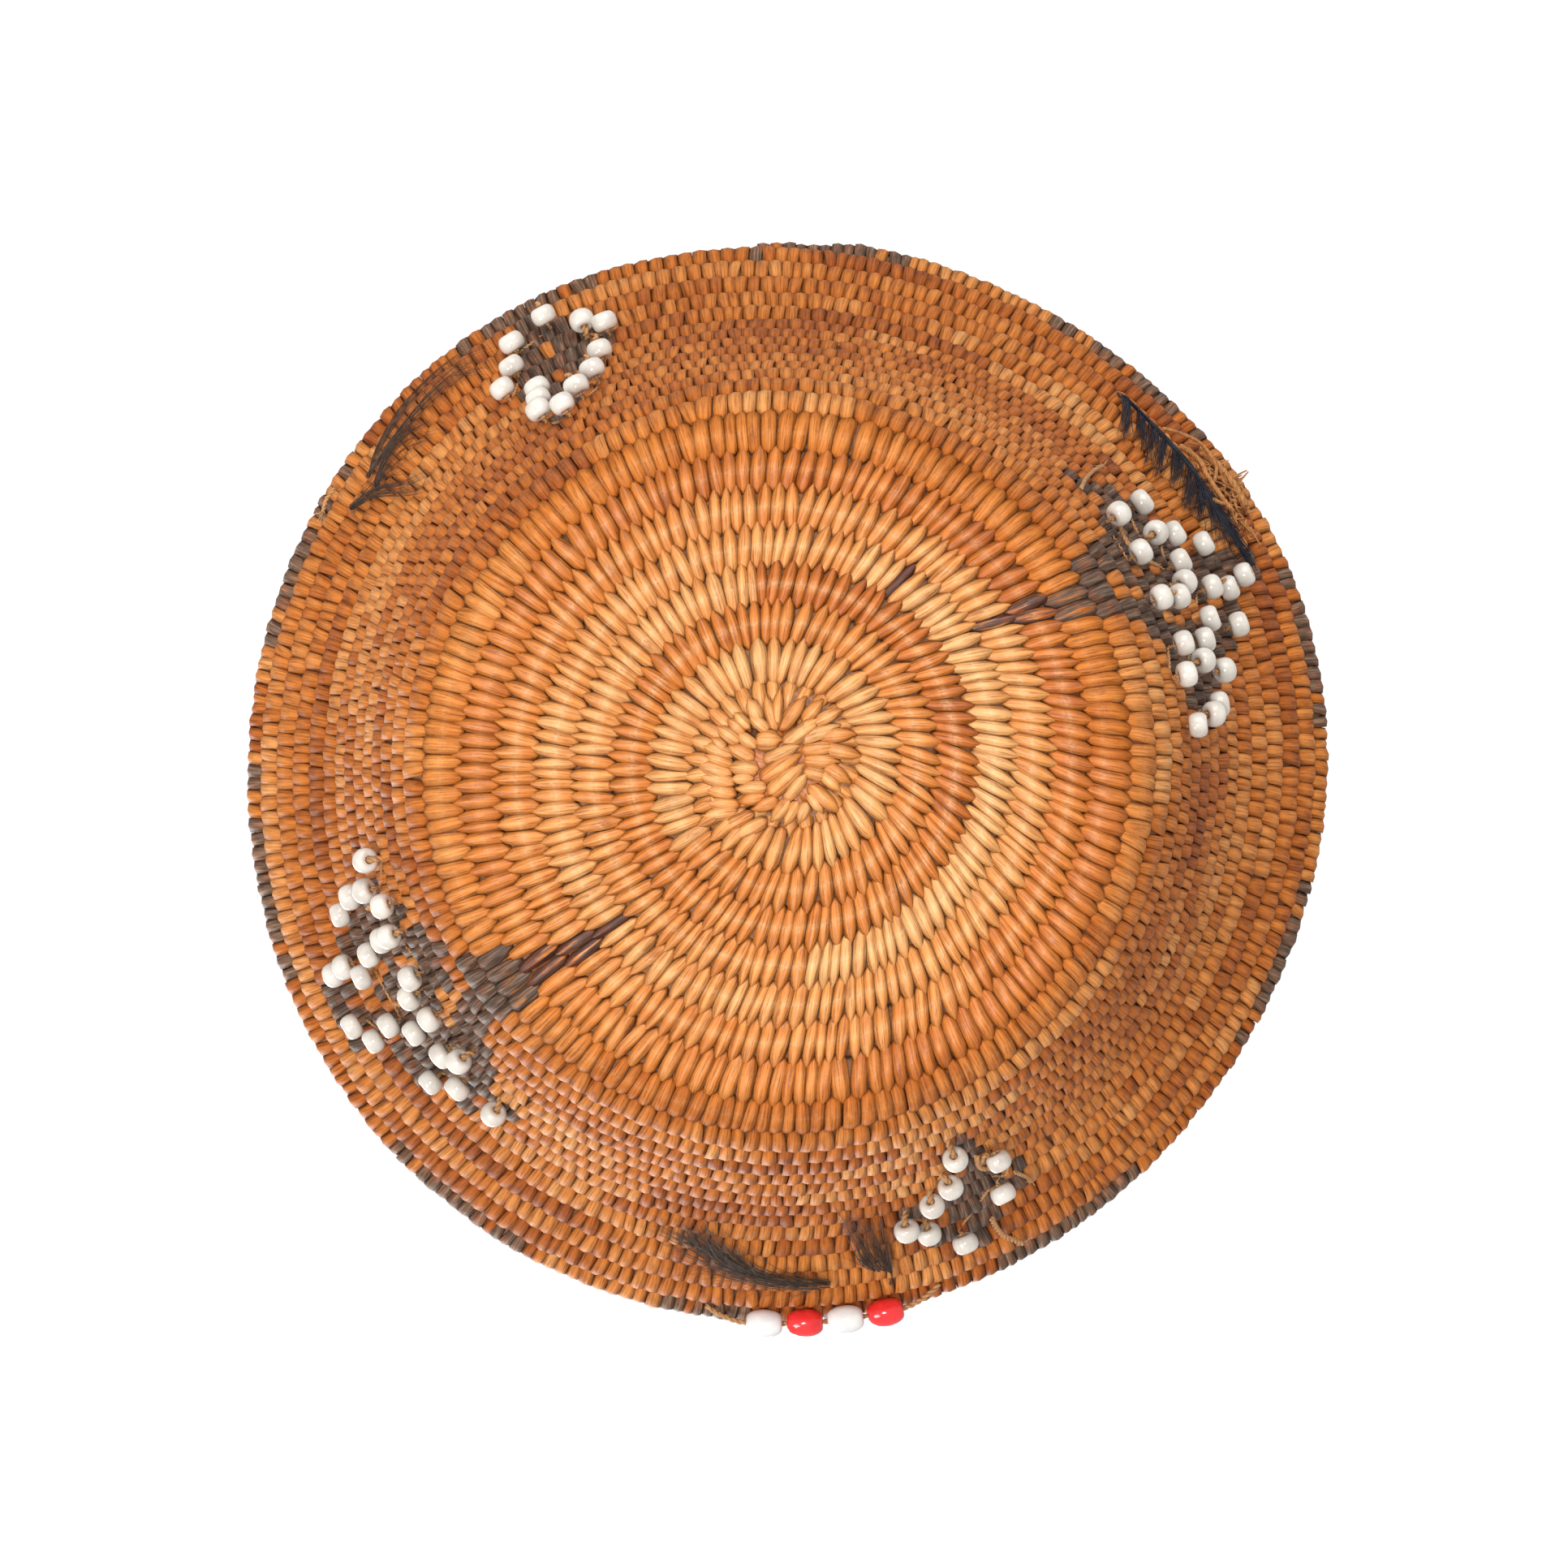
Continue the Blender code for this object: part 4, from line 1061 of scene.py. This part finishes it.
def add_bake_map(mesh, shape):
    """An unwrapped map with a tile for each stitch, for baked textures."""
    count, length, breadth = shape
    columns = int(math.ceil(math.sqrt(count * TILE_SHAPE)))
    lines = int(math.ceil(count / columns))
    index = np.arange(count)[:, None, None]
    along = TILE_MARGIN + (1.0 - 2.0 * TILE_MARGIN) * np.arange(length + 1) / length
    across = TILE_MARGIN + (1.0 - 2.0 * TILE_MARGIN) * np.arange(breadth + 1) / breadth
    sides = (index % columns + across) / columns
    ends = (index // columns + along[:, None]) / lines
    add_map(mesh, "OFBake", sides[..., :-1], sides[..., 1:], ends[:, :-1], ends[:, 1:])


def put(tree, made, inputs):
    """Set or link a node's inputs."""
    for key, value in inputs.items():
        value = getattr(value, "socket", value)
        if isinstance(value, bpy.types.NodeSocket):
            tree.links.new(value, made.inputs[key])
        else:
            made.inputs[key].default_value = value
    return made


def node(tree, kind, inputs=None, **settings):
    """A shader node with its settings, and its inputs set or linked."""
    made = tree.nodes.new(kind)
    for key, value in settings.items():
        setattr(made, key, value)
    return put(tree, made, inputs or {})


class Value:
    """A value in a tree of shader nodes, with plain arithmetic."""

    def __init__(self, tree, socket):
        self.tree = tree
        self.socket = socket

    def joined(self, operation, first, second):
        """The result of a math node."""
        made = node(self.tree, "ShaderNodeMath", {0: first, 1: second}, operation=operation)
        return Value(self.tree, made.outputs[0])

    def __add__(self, other):
        return self.joined("ADD", self, other)

    def __sub__(self, other):
        return self.joined("SUBTRACT", self, other)

    def __rsub__(self, other):
        return self.joined("SUBTRACT", other, self)

    def __mul__(self, other):
        return self.joined("MULTIPLY", self, other)

    def held(self):
        """This value, kept between 0 and 1 by its node."""
        self.socket.node.use_clamp = True
        return self


def attribute(tree, name):
    """A value that the mesh holds for each point."""
    return Value(tree, node(tree, "ShaderNodeAttribute", attribute_name=name).outputs["Fac"])


def ramp(tree, factor, stops):
    """A colour ramp's colour."""
    made = node(tree, "ShaderNodeValToRGB", {"Fac": factor})
    elements = made.color_ramp.elements
    for element, (place, colour) in zip(elements, (stops[0], stops[-1])):
        element.position = place
        element.color = (*colour, 1.0)
    for place, colour in stops[1:-1]:
        elements.new(place).color = (*colour, 1.0)
    return made.outputs["Color"]


def mixed(tree, factor, first, second, blend="MIX"):
    """A mix of two colours."""
    second = (*second, 1.0) if isinstance(second, tuple) else second
    inputs = {0: factor, 6: first, 7: second}
    return node(tree, "ShaderNodeMix", inputs, data_type="RGBA", blend_type=blend).outputs[2]


def noise(tree, vector, scale, detail=3.0, roughness=0.55):
    """A noise texture's value."""
    inputs = {"Vector": vector, "Scale": scale, "Detail": detail, "Roughness": roughness}
    return Value(tree, node(tree, "ShaderNodeTexNoise", inputs).outputs["Fac"])


def object_noise(tree, *settings):
    """Noise by place in the object."""
    return noise(tree, node(tree, "ShaderNodeTexCoord").outputs["Object"], *settings)


def new_material(name):
    """An empty node material with its tree and shader."""
    made = bpy.data.materials.new(name)
    made.use_nodes = True
    return made, made.node_tree, made.node_tree.nodes["Principled BSDF"]


def bumped(tree, height, strength, distance):
    """Directions of a surface with fine relief."""
    inputs = {"Height": height, "Strength": strength, "Distance": distance}
    return node(tree, "ShaderNodeBump", inputs).outputs["Normal"]


def strand_material(name, dye, roughness, gloss, brightness, specular):
    """Split plant strands: fine fibres along each stitch, tone by stitch, dark or streaky where dyed, with
    a painted highlight on worn crests and painted shade in creases and at the strands' ends.
    """
    made, tree, shader = new_material(name)
    strand = node(tree, "ShaderNodeUVMap", uv_map="Strand").outputs["UV"]
    noises = []
    for stretch, *settings in STRAND_NOISES:
        place = strand
        if stretch:
            place = node(tree, "ShaderNodeMapping", {"Vector": strand, "Scale": stretch}).outputs[0]
        noises.append(noise(tree, place, *settings))
    fine, broad, blotch, speckle = noises
    tone, dark, reach, edge, wear_and_highlight = (attribute(tree, key) for key in POINT_VALUES)

    colour = ramp(tree, (tone + (blotch - 0.5) * BLOTCH_SHARE).held(), TONES)
    colour = mixed(tree, FINE_SHARE, colour, ramp(tree, fine, FINE_FIBRES), "MULTIPLY")
    colour = mixed(tree, BROAD_SHARE, colour, ramp(tree, broad, BROAD_FIBRES), "MULTIPLY")
    # Crests lightened in mottled patches: wear, with a painted highlight laid in the same band
    by_speckle, by_fine = SHEEN_SCUFF_SHARES
    scuffs_and_sheen = ((speckle * by_speckle + fine * by_fine - SHEEN_SCUFF_LEVEL) * SHEEN_SCUFF_SHARPNESS).held()
    colour = mixed(tree, wear_and_highlight * scuffs_and_sheen, colour, WORN_CREST_AND_HIGHLIGHT)
    # The reach in mm, from -2 to 2, becomes a place from 0 to 1, for the painted shade at the strand's
    # ends
    colour = mixed(tree, 1.0, colour, ramp(tree, (reach + 2.0) * 0.25, END_SHADE_ALONG_STRAND), "MULTIPLY")
    colour = mixed(tree, 1.0, colour, (brightness, brightness, brightness), "MULTIPLY")
    by_broad, by_fine = DYE_SHARES
    over = broad * by_broad + fine * by_fine - (1.0 - dark)
    dyed = mixed(tree, 1.0, ramp(tree, fine, dye), ramp(tree, blotch, DYE_SHIFT), "MULTIPLY")
    colour = mixed(tree, (over * DYE_SHARPNESS + 0.5).held(), colour, dyed)
    # Painted shade in the creases at each strand's edges
    colour = mixed(tree, 1.0, colour, ramp(tree, edge, CREASE_SHADE), "MULTIPLY")
    by_fine, by_broad, by_speckle = RELIEF_SHARES
    inputs = {
        "Base Color": colour,
        "Roughness": (fine * ROUGH_BY_FIBRE + roughness + (GLOSS_LEVEL - speckle) * gloss).held(),
        "Specular IOR Level": specular,
        "Normal": bumped(tree, fine * by_fine + broad * by_broad + speckle * by_speckle, *STRAND_RELIEF),
    }
    put(tree, shader, inputs)
    return made


def plain_fibre_material(name, dark, light, scale, roughness):
    """Fibrous matter with a mottled colour, such as the coil's filling, thread or feather."""
    made, tree, shader = new_material(name)
    value = object_noise(tree, scale, *MOTTLING)
    inputs = {
        "Base Color": ramp(tree, value, list(zip(MOTTLING_STOPS, (dark, light)))),
        "Roughness": value * ROUGH_BY_MOTTLING + roughness,
        "Normal": bumped(tree, value, *FIBRE_RELIEF),
    }
    put(tree, shader, inputs)
    return made


def glass_material(name, deep, pale, roughness, glow):
    """Opaque glass of a bead, faintly clouded."""
    made, tree, shader = new_material(name)
    value = object_noise(tree, *CLOUDS)
    inputs = {
        "Base Color": ramp(tree, value, list(zip(CLOUD_STOPS, (deep, pale)))),
        "Roughness": value * ROUGH_BY_CLOUD + roughness,
        "Subsurface Weight": glow,
        "Subsurface Radius": (1.0, 0.95, 0.9),
        "Subsurface Scale": GLASS_DEPTH,
        "Coat Weight": 0.35,
        "Coat Roughness": 0.06,
    }
    put(tree, shader, inputs)
    return made


def add_filling(finish):
    """The coil's filling of fine rods, seen only in the gaps between the stitches."""
    turns = np.arange(FILLING_START, COIL_END - FILLING_SPARE, 1.0 / FILLING_STEPS)
    turns = np.append(turns, COIL_END - np.array(FILLING_END))
    on_base = held(BASE_TURNS + 0.5 - turns)
    near_start = held((FILLING_THIN - turns) / FILLING_FADE)
    thick, less_on_base, less_near_start = FILLING_DEPTH
    depth = (thick - less_on_base * on_base - less_near_start * near_start)[:, None] * MM
    sunk, more_on_base, more_near_start = FILLING_MIDDLE
    middle = (-more_on_base * on_base - sunk - more_near_start * near_start)[:, None] * MM
    high = (FILLING_REACH - (FILLING_REACH - 1.0) * rim_share(turns))[:, None] * MM
    low = -FILLING_REACH * MM
    sides = TURN * np.arange(FILLING_SIDES) / FILLING_SIDES
    taper = end_taper(turns)[:, None]
    up = (np.cos(sides) * (high - low) / 2.0 + (high + low) / 2.0) * taper - END_DROP * (1.0 - taper)
    out = (np.sin(sides) * depth + middle) * taper
    angles = np.broadcast_to(coil_angle(turns)[:, None], up.shape)
    centre, _, out_wall, _ = frame_at(turns[:, None] + up / ROW_PITCH, angles)
    shape = Shape()
    shape.add_rings(centre + out_wall * out[..., None])
    shape.make("coil_filling", [finish])


def bead_profile(diameter, length, bore, roundness):
    """A bead's closed profile with rounded sides: distances from the axis and places along it."""
    lip = bore / 2 + BEAD_LIP
    outer = []
    for step in range(BEAD_STEPS + 1):
        turn = math.pi * (step / BEAD_STEPS - 0.5)
        swell = math.cos(turn) ** roundness if 0 < step < BEAD_STEPS else 0.0
        outer.append((lip + (diameter / 2 - lip) * swell, length / 2 * math.sin(turn)))
    return [(bore / 2, -length / 2 + BEAD_INSET), *outer, (bore / 2, length / 2 - BEAD_INSET)]


def add_seed_beads(glass, thread, rng):
    """Seed beads with the thread that holds each of them, in place of the plain ones."""
    profile = bead_profile(SEED_DIAMETER, SEED_LENGTH, SEED_BORE, SEED_ROUNDNESS)
    threads = Shape()
    for side, groups in SEED_BEADS.items():
        for number, group in enumerate(groups, start=1):
            shape = Shape()
            roots = []
            for degrees, rows, tilt in np.reshape(group, (-1, 3)):
                lift = seed_lift(degrees, rows, tilt)
                centre, up_wall, out_wall, along = wall_place(degrees, rows, lift)
                lean = math.radians(tilt)
                axis = out_wall * math.cos(lean) + up_wall * math.sin(lean)
                swell = 1.0 + rng.normal(0.0, SEED_SPREAD)
                shape.turned([(r * swell, z) for r, z in profile], SEED_SIDES, centre, axis)
                root = centre - axis * (SEED_LENGTH / 2 + THREAD_PAST)
                roots.append((root, centre - out_wall * (lift - COIL_RADIUS + LINK_LIFT)))
                add_bead_thread(threads, centre, axis, out_wall, along, lift, tilt, rng)
            kind = "bead"
            if len(roots) == 2:
                kind = "pair"
                (first, low_first), (second, low_second) = roots
                near, far = LINK_SHARES
                link = [first, low_first, low_first * near + low_second * far]
                link += [low_first * far + low_second * near, low_second, second]
                shape.twist(smooth_path(link, 5), *LINK_TWIST, sides=5, finish=1)
            node_name = f"{side}_seed_{kind}_{number:02d}"
            shape.make(f"{node_name}_glass", [glass, thread], [node_name])
    threads.make("seed_bead_threads", [thread])


def add_bead_thread(threads, centre, axis, out_wall, along, lift, tilt, rng):
    """A thread through a bead's bore: sewn back over the edge of a tilted bead, or ended in a knot."""
    half = SEED_LENGTH / 2
    start = rng.uniform(*TWIST_STARTS)
    if tilt >= STEEP_TILT:
        to_wall = unit(axis * axis.dot(out_wall) - out_wall)
        to_wall = unit(to_wall + along * rng.normal(0.0, THREAD_STRAY))
        end = centre - axis * (half + THREAD_BACK)
        drop = (end - centre).dot(out_wall) + lift - COIL_RADIUS * SEWN_DEPTH
        points = [centre]
        for past, aside in THREAD_BEND:
            points.append(centre - axis * (half + past * MM) + to_wall * aside * MM)
        for aside, share in THREAD_SEWN:
            points.append(end + to_wall * aside * MM - out_wall * drop * share)
        threads.twist(smooth_path(points, 6), *SEWN_TWIST, start=start)
        return
    points = [centre - axis * (half + THREAD_PAST), centre, centre + axis * (half - THREAD_SHORT)]
    if rng.uniform() < KNOT_CHANCE:
        side = unit(np.cross(axis, along) + along * rng.normal(0.0, KNOT_STRAY))
        for past, aside in THREAD_KNOT:
            points.append(centre + axis * (half + past * MM) + side * aside * MM)
    threads.twist(smooth_path(points, 6), *THREAD_TWIST, start=start)


def groove_place(degrees, radius):
    """Seat for a round piece in the groove under the rim row, on the outside."""
    turn = (START_ANGLE - view_angle(degrees)) / TURN
    turn = turn + np.floor(COIL_END - turn)
    reach = COIL_RADIUS + TOUCH_GAP + radius
    centre, _, out_wall, along = frame_at(turn - 0.5, view_angle(degrees))
    return centre + out_wall * math.sqrt(reach**2 - (ROW_PITCH / 2) ** 2), along


def degrees_along_rim(length):
    """View angle that a length takes up at the rim."""
    return math.degrees(length / float(coil_distance(COIL_END)))


def add_rim_beads(finishes):
    """The four rim beads, each free to turn on the cord."""
    profile = bead_profile(RIM_BEAD_DIAMETER, RIM_BEAD_LENGTH, RIM_BEAD_BORE, RIM_BEAD_ROUNDNESS)
    middle = (len(RIM_BEADS) - 1) / 2
    for index, colour in enumerate(RIM_BEADS):
        degrees = RIM_BEADS_ANGLE + (index - middle) * degrees_along_rim(RIM_BEAD_SPACING)
        centre, along = groove_place(degrees, RIM_BEAD_DIAMETER / 2)
        name = f"rim_bead_{index + 1}_{colour}"
        shape = Shape()
        shape.turned(profile, RIM_BEAD_SIDES, centre, along)
        shape.make(f"{name}_glass", [finishes[colour]], [name], body=f"body_{name}")


def add_rim_cord(finish):
    """The cord through the rim beads, whose ends go down into the groove."""
    outer = RIM_BEAD_DIAMETER / 2
    cord = RIM_CORD_DIAMETER / 2
    half = degrees_along_rim(RIM_BEAD_SPACING * len(RIM_BEADS) / 2)
    tail = degrees_along_rim(RIM_CORD_TAIL)
    points = []
    for share in np.linspace(-1.0, 1.0, RIM_CORD_STEPS):
        offset = share * (half + tail)
        sunk = max(0.0, (abs(offset) - half) / tail)
        radius = outer + (cord - outer) * sunk**RIM_CORD_DIP
        points.append(groove_place(RIM_BEADS_ANGLE + offset, radius)[0])
    shape = Shape()
    shape.twist(points, cord * RIM_CORD_SHARE, RIM_CORD_PITCH, sides=8)
    shape.make("rim_bead_cord_twisted", [finish], ["rim_bead_cord"])


def over_wall(places, lift):
    """Points over the wall at pairs of a view angle and rows above the base."""
    degrees, rows = np.asarray(places, float).T
    return wall_place(degrees, rows, np.broadcast_to(lift, degrees.shape))[0]


def add_feather(name, spine, sprays, finish, rng):
    """A feather's barbs: sprays of fine hairs that leave its spine, with a bound root."""
    shape = Shape()
    path = smooth_path(spine, 10)
    shares = np.linspace(0.0, 1.0, len(path))
    low = COIL_RADIUS + TOUCH_GAP
    steps = np.linspace(0.0, 1.0, 10)
    for count, clump, first, last, reach, spread, thickness in sprays:
        for number in range(count):
            if number % clump == 0:
                place = (number + rng.uniform(0.0, clump)) / (count + clump)
                clump_start = first + (last - first) * place
                clump_length = rng.uniform(*CLUMP_LENGTHS)
                clump_way = rng.normal(0.0, CLUMP_STRAY, 2) * spread
            start = np.clip(clump_start + rng.normal(0.0, BARB_SHIFT), first, last)
            length = (1.0 if reach is None else clump_length) * rng.uniform(*BARB_LENGTHS)
            sideways = clump_way + rng.normal(0.0, BARB_STRAY, 2) * spread
            wave = rng.normal(0.0, BARB_WAVE, 2) * np.sin(steps * rng.uniform(*BARB_WAVES))[:, None]
            if reach is None:
                places = between(path, shares, start + (1.0 - start) * length * steps)
                parting = PARTING_START + (1.0 - PARTING_START) * steps**PARTING_POWER
                places = places + sideways * parting[:, None]
            else:
                way = np.array(reach) * length + sideways * length
                bend = rng.normal(0.0, BARB_BEND, 2) * spread
                root = between(path, shares, start)
                places = root + way * steps[:, None] + bend * steps[:, None] ** 2
            rise = rng.uniform(*BARB_STARTS) + rng.uniform(*BARB_RISES) * steps
            places = places + wave * steps[:, None]
            places[:, 1] = np.minimum(places[:, 1], HIGHEST_BARB)
            points = over_wall(places, low + rise * VANE_THICKNESS)
            shape.tube(points, thickness * MM * (1.0 - BARB_THINNING * steps), sides=3)
    shape.tube(over_wall(path[:5], low), HAIR_RADIUS * np.array(QUILL_SHARES), sides=8)
    shape.make(f"{name}_barbs", [finish], [name])


def add_wall_cord(name, strands, clearance, finish, node_name, stubs=(), rng=None):
    """Twisted strands of a cord that lie over the wall, with frayed stubs where it has them."""
    shape = Shape()
    for route, radius in strands:
        lift = COIL_RADIUS + clearance + radius * MM
        shape.twist(over_wall(smooth_path(route, 8), lift), radius * MM, radius * CORD_PITCH * MM, plies=3)
    steps = np.linspace(0.0, 1.0, 8)[:, None]
    for degrees, rows, length in stubs:
        centre, up_wall, out_wall, along = wall_place(degrees, rows, COIL_RADIUS + clearance)
        for _ in range(FRAYED_HAIRS):
            outward = out_wall * rng.uniform(*FRAYED_OUT)
            way = unit(up_wall + outward + along * rng.normal(0.0, FRAYED_ASIDE))
            curl = along * rng.normal(0.0, FRAYED_CURL_ASIDE) + out_wall * rng.normal(*FRAYED_CURL_OUT)
            curl = curl * length * MM
            points = centre + way * length * MM * rng.uniform(*FRAYED_LENGTHS) * steps + curl * steps**2
            shape.tube(points, HAIR_RADIUS * (1.0 - FRAYED_THINNING * steps[:, 0]), sides=5)
    for _ in range(MATTED_FIBRES if stubs else 0):
        degrees, rows, _ = stubs[int(rng.integers(len(stubs)))]
        start = (degrees, rows - MATTED_DROP) + rng.normal(0.0, MATTED_SPREAD)
        way = rng.normal(0.0, 1.0, (3, 2)) * MATTED_STEP
        route = np.concatenate((start[None, :], start + np.cumsum(way, axis=0)))
        route[:, 1] = np.clip(route[:, 1], *MATTED_ROWS)
        lift = COIL_RADIUS + clearance + rng.uniform(*MATTED_LIFTS) * MM
        shape.tube(over_wall(smooth_path(route, 5), lift), MATTED_RADIUS, sides=4)
    shape.make(name, [finish], [node_name])


def add_loose_threads(finish, rng):
    """Loose ends of thread left on the wall."""
    shape = Shape()
    steps = np.linspace(0.0, 1.0, 5)[:, None]
    for route, radius in LOOSE_THREADS:
        points = over_wall(smooth_path(route, 8), COIL_RADIUS + TOUCH_GAP + radius * MM)
        shape.twist(points, radius * MM, radius * LOOSE_PITCH * MM, start=rng.uniform(*TWIST_STARTS))
        for _ in range(FRAYED_HAIRS):
            way = unit(points[-1] - points[-3]) + rng.normal(0.0, LOOSE_STRAY, 3)
            shape.tube(points[-1] + way * LOOSE_LENGTH * MM * steps, LOOSE_RADIUS, sides=4)
    shape.make("loose_threads", [finish])


def add_camera():
    """The camera, under the basket and looking straight up at its base."""
    data = bpy.data.cameras.new("camera")
    data.sensor_width = 36.0
    data.lens = CAMERA_LENS
    data.clip_start = 0.01
    camera = place_object("camera", data, (0.0, CAMERA_SHIFT, -CAMERA_DISTANCE))
    camera.rotation_euler = (0.0, math.pi, 0.0)
    bpy.context.scene.camera = camera


def add_light(name, place, size, power):
    """A soft square light that faces the basket."""
    data = bpy.data.lights.new(name, "AREA")
    data.shape = "SQUARE"
    data.size = size
    data.energy = power
    aim = Vector(AIM) - Vector(place)
    place_object(name, data, place).rotation_euler = aim.to_track_quat("-Z", "Y").to_euler()


def add_world():
    """Plain white surroundings that light softly, and are brighter for the camera."""
    world = bpy.data.worlds.new("studio")
    world.use_nodes = True
    bpy.context.scene.world = world
    tree = world.node_tree
    direct = Value(tree, node(tree, "ShaderNodeLightPath").outputs["Is Camera Ray"])
    strength = direct * WORLD_FOR_CAMERA + WORLD_POWER
    put(tree, tree.nodes["Background"], {"Color": (1.0, 1.0, 1.0, 1.0), "Strength": strength})


def add_floor():
    """A pale floor under the basket that is clear from below, where the camera is."""
    mesh = bpy.data.meshes.new("floor")
    corners = [(x * FLOOR_REACH, y * FLOOR_REACH, 0.0) for x, y in ((-1, -1), (1, -1), (1, 1), (-1, 1))]
    mesh.from_pydata(corners, [], [(0, 1, 2, 3)])
    made, tree, shader = new_material("floor_paint")
    colour = ramp(tree, object_noise(tree, FLOOR_SCALE), FLOOR_PAINT)
    put(tree, shader, {"Base Color": colour, "Roughness": 0.9})
    clear = node(tree, "ShaderNodeBsdfTransparent").outputs[0]
    behind = node(tree, "ShaderNodeNewGeometry").outputs["Backfacing"]
    blend = node(tree, "ShaderNodeMixShader", {0: behind, 1: shader.outputs[0], 2: clear})
    put(tree, tree.nodes["Material Output"], {"Surface": blend.outputs[0]})
    mesh.materials.append(made)
    floor = place_object("floor", mesh, (0.0, 0.0, -FLOOR_DROP))
    floor.visible_shadow = False
    floor.visible_diffuse = False
    floor.visible_glossy = False


def build():
    """Make every piece, the camera and the lights."""
    rng = np.random.default_rng(DRAWS)
    strands = [strand_material(name, *settings) for name, settings in STRAND_LOOKS.items()]
    base_strand, wall_strand, rim_strand = strands
    plain = {name: plain_fibre_material(name, *settings) for name, settings in PLAIN_FIBRES.items()}
    glass = {name: glass_material(f"{name}_glass", *settings) for name, settings in GLASSES.items()}

    places = stitch_places()
    data = stitch_data(places, rng)
    lengths = (
        ("base", 0.0, BASE_TURNS, base_strand, "pale_strand", ["start_knot", "base_coil"]),
        ("wall_lower", BASE_TURNS, LOWER_WALL_END, wall_strand, "russet_strand", ["wall_coil_lower"]),
        ("wall_middle", LOWER_WALL_END, MIDDLE_WALL_END, wall_strand, "tan_strand", ["wall_coil_middle"]),
        ("wall_upper", MIDDLE_WALL_END, UPPER_SPLIT, wall_strand, "russet_strand", ["wall_coil_upper"]),
        ("wall_top", UPPER_SPLIT, RIM_START, wall_strand, "russet_strand", ["wall_coil_upper"]),
        ("rim", RIM_START, COIL_END + 1.0, rim_strand, "dark_strand", ["rim_coil"]),
    )
    for name, first, last, *look in lengths:
        add_stitches(f"{name}_stitches", places, first, last, data, *look)
    add_knot_strands(base_strand, rng)
    add_filling(plain["filling"])
    add_seed_beads(glass["milk"], plain["thread"], rng)
    add_rim_beads(glass)
    add_rim_cord(plain["thread"])
    for name, (spine, sprays) in FEATHERS.items():
        finish = plain["blue_feather" if name == "feather_right" else "feather"]
        add_feather(name, spine, sprays, finish, rng)
    golden = plain["golden_thread"]
    over_feather = TOUCH_GAP + VANE_THICKNESS + TOUCH_GAP
    add_wall_cord("feather_cord_twisted", FEATHER_CORD, over_feather, golden, "feather_cord")
    add_wall_cord("frayed_cord_fibres", FRAYED_CORD, TOUCH_GAP, golden, "frayed_cord", FRAYED_STUBS, rng)
    add_loose_threads(plain["thread"], rng)

    add_camera()
    for light in LIGHTS:
        add_light(*light)
    add_world()
    add_floor()
    bpy.context.scene.view_settings.view_transform = "Standard"


build()
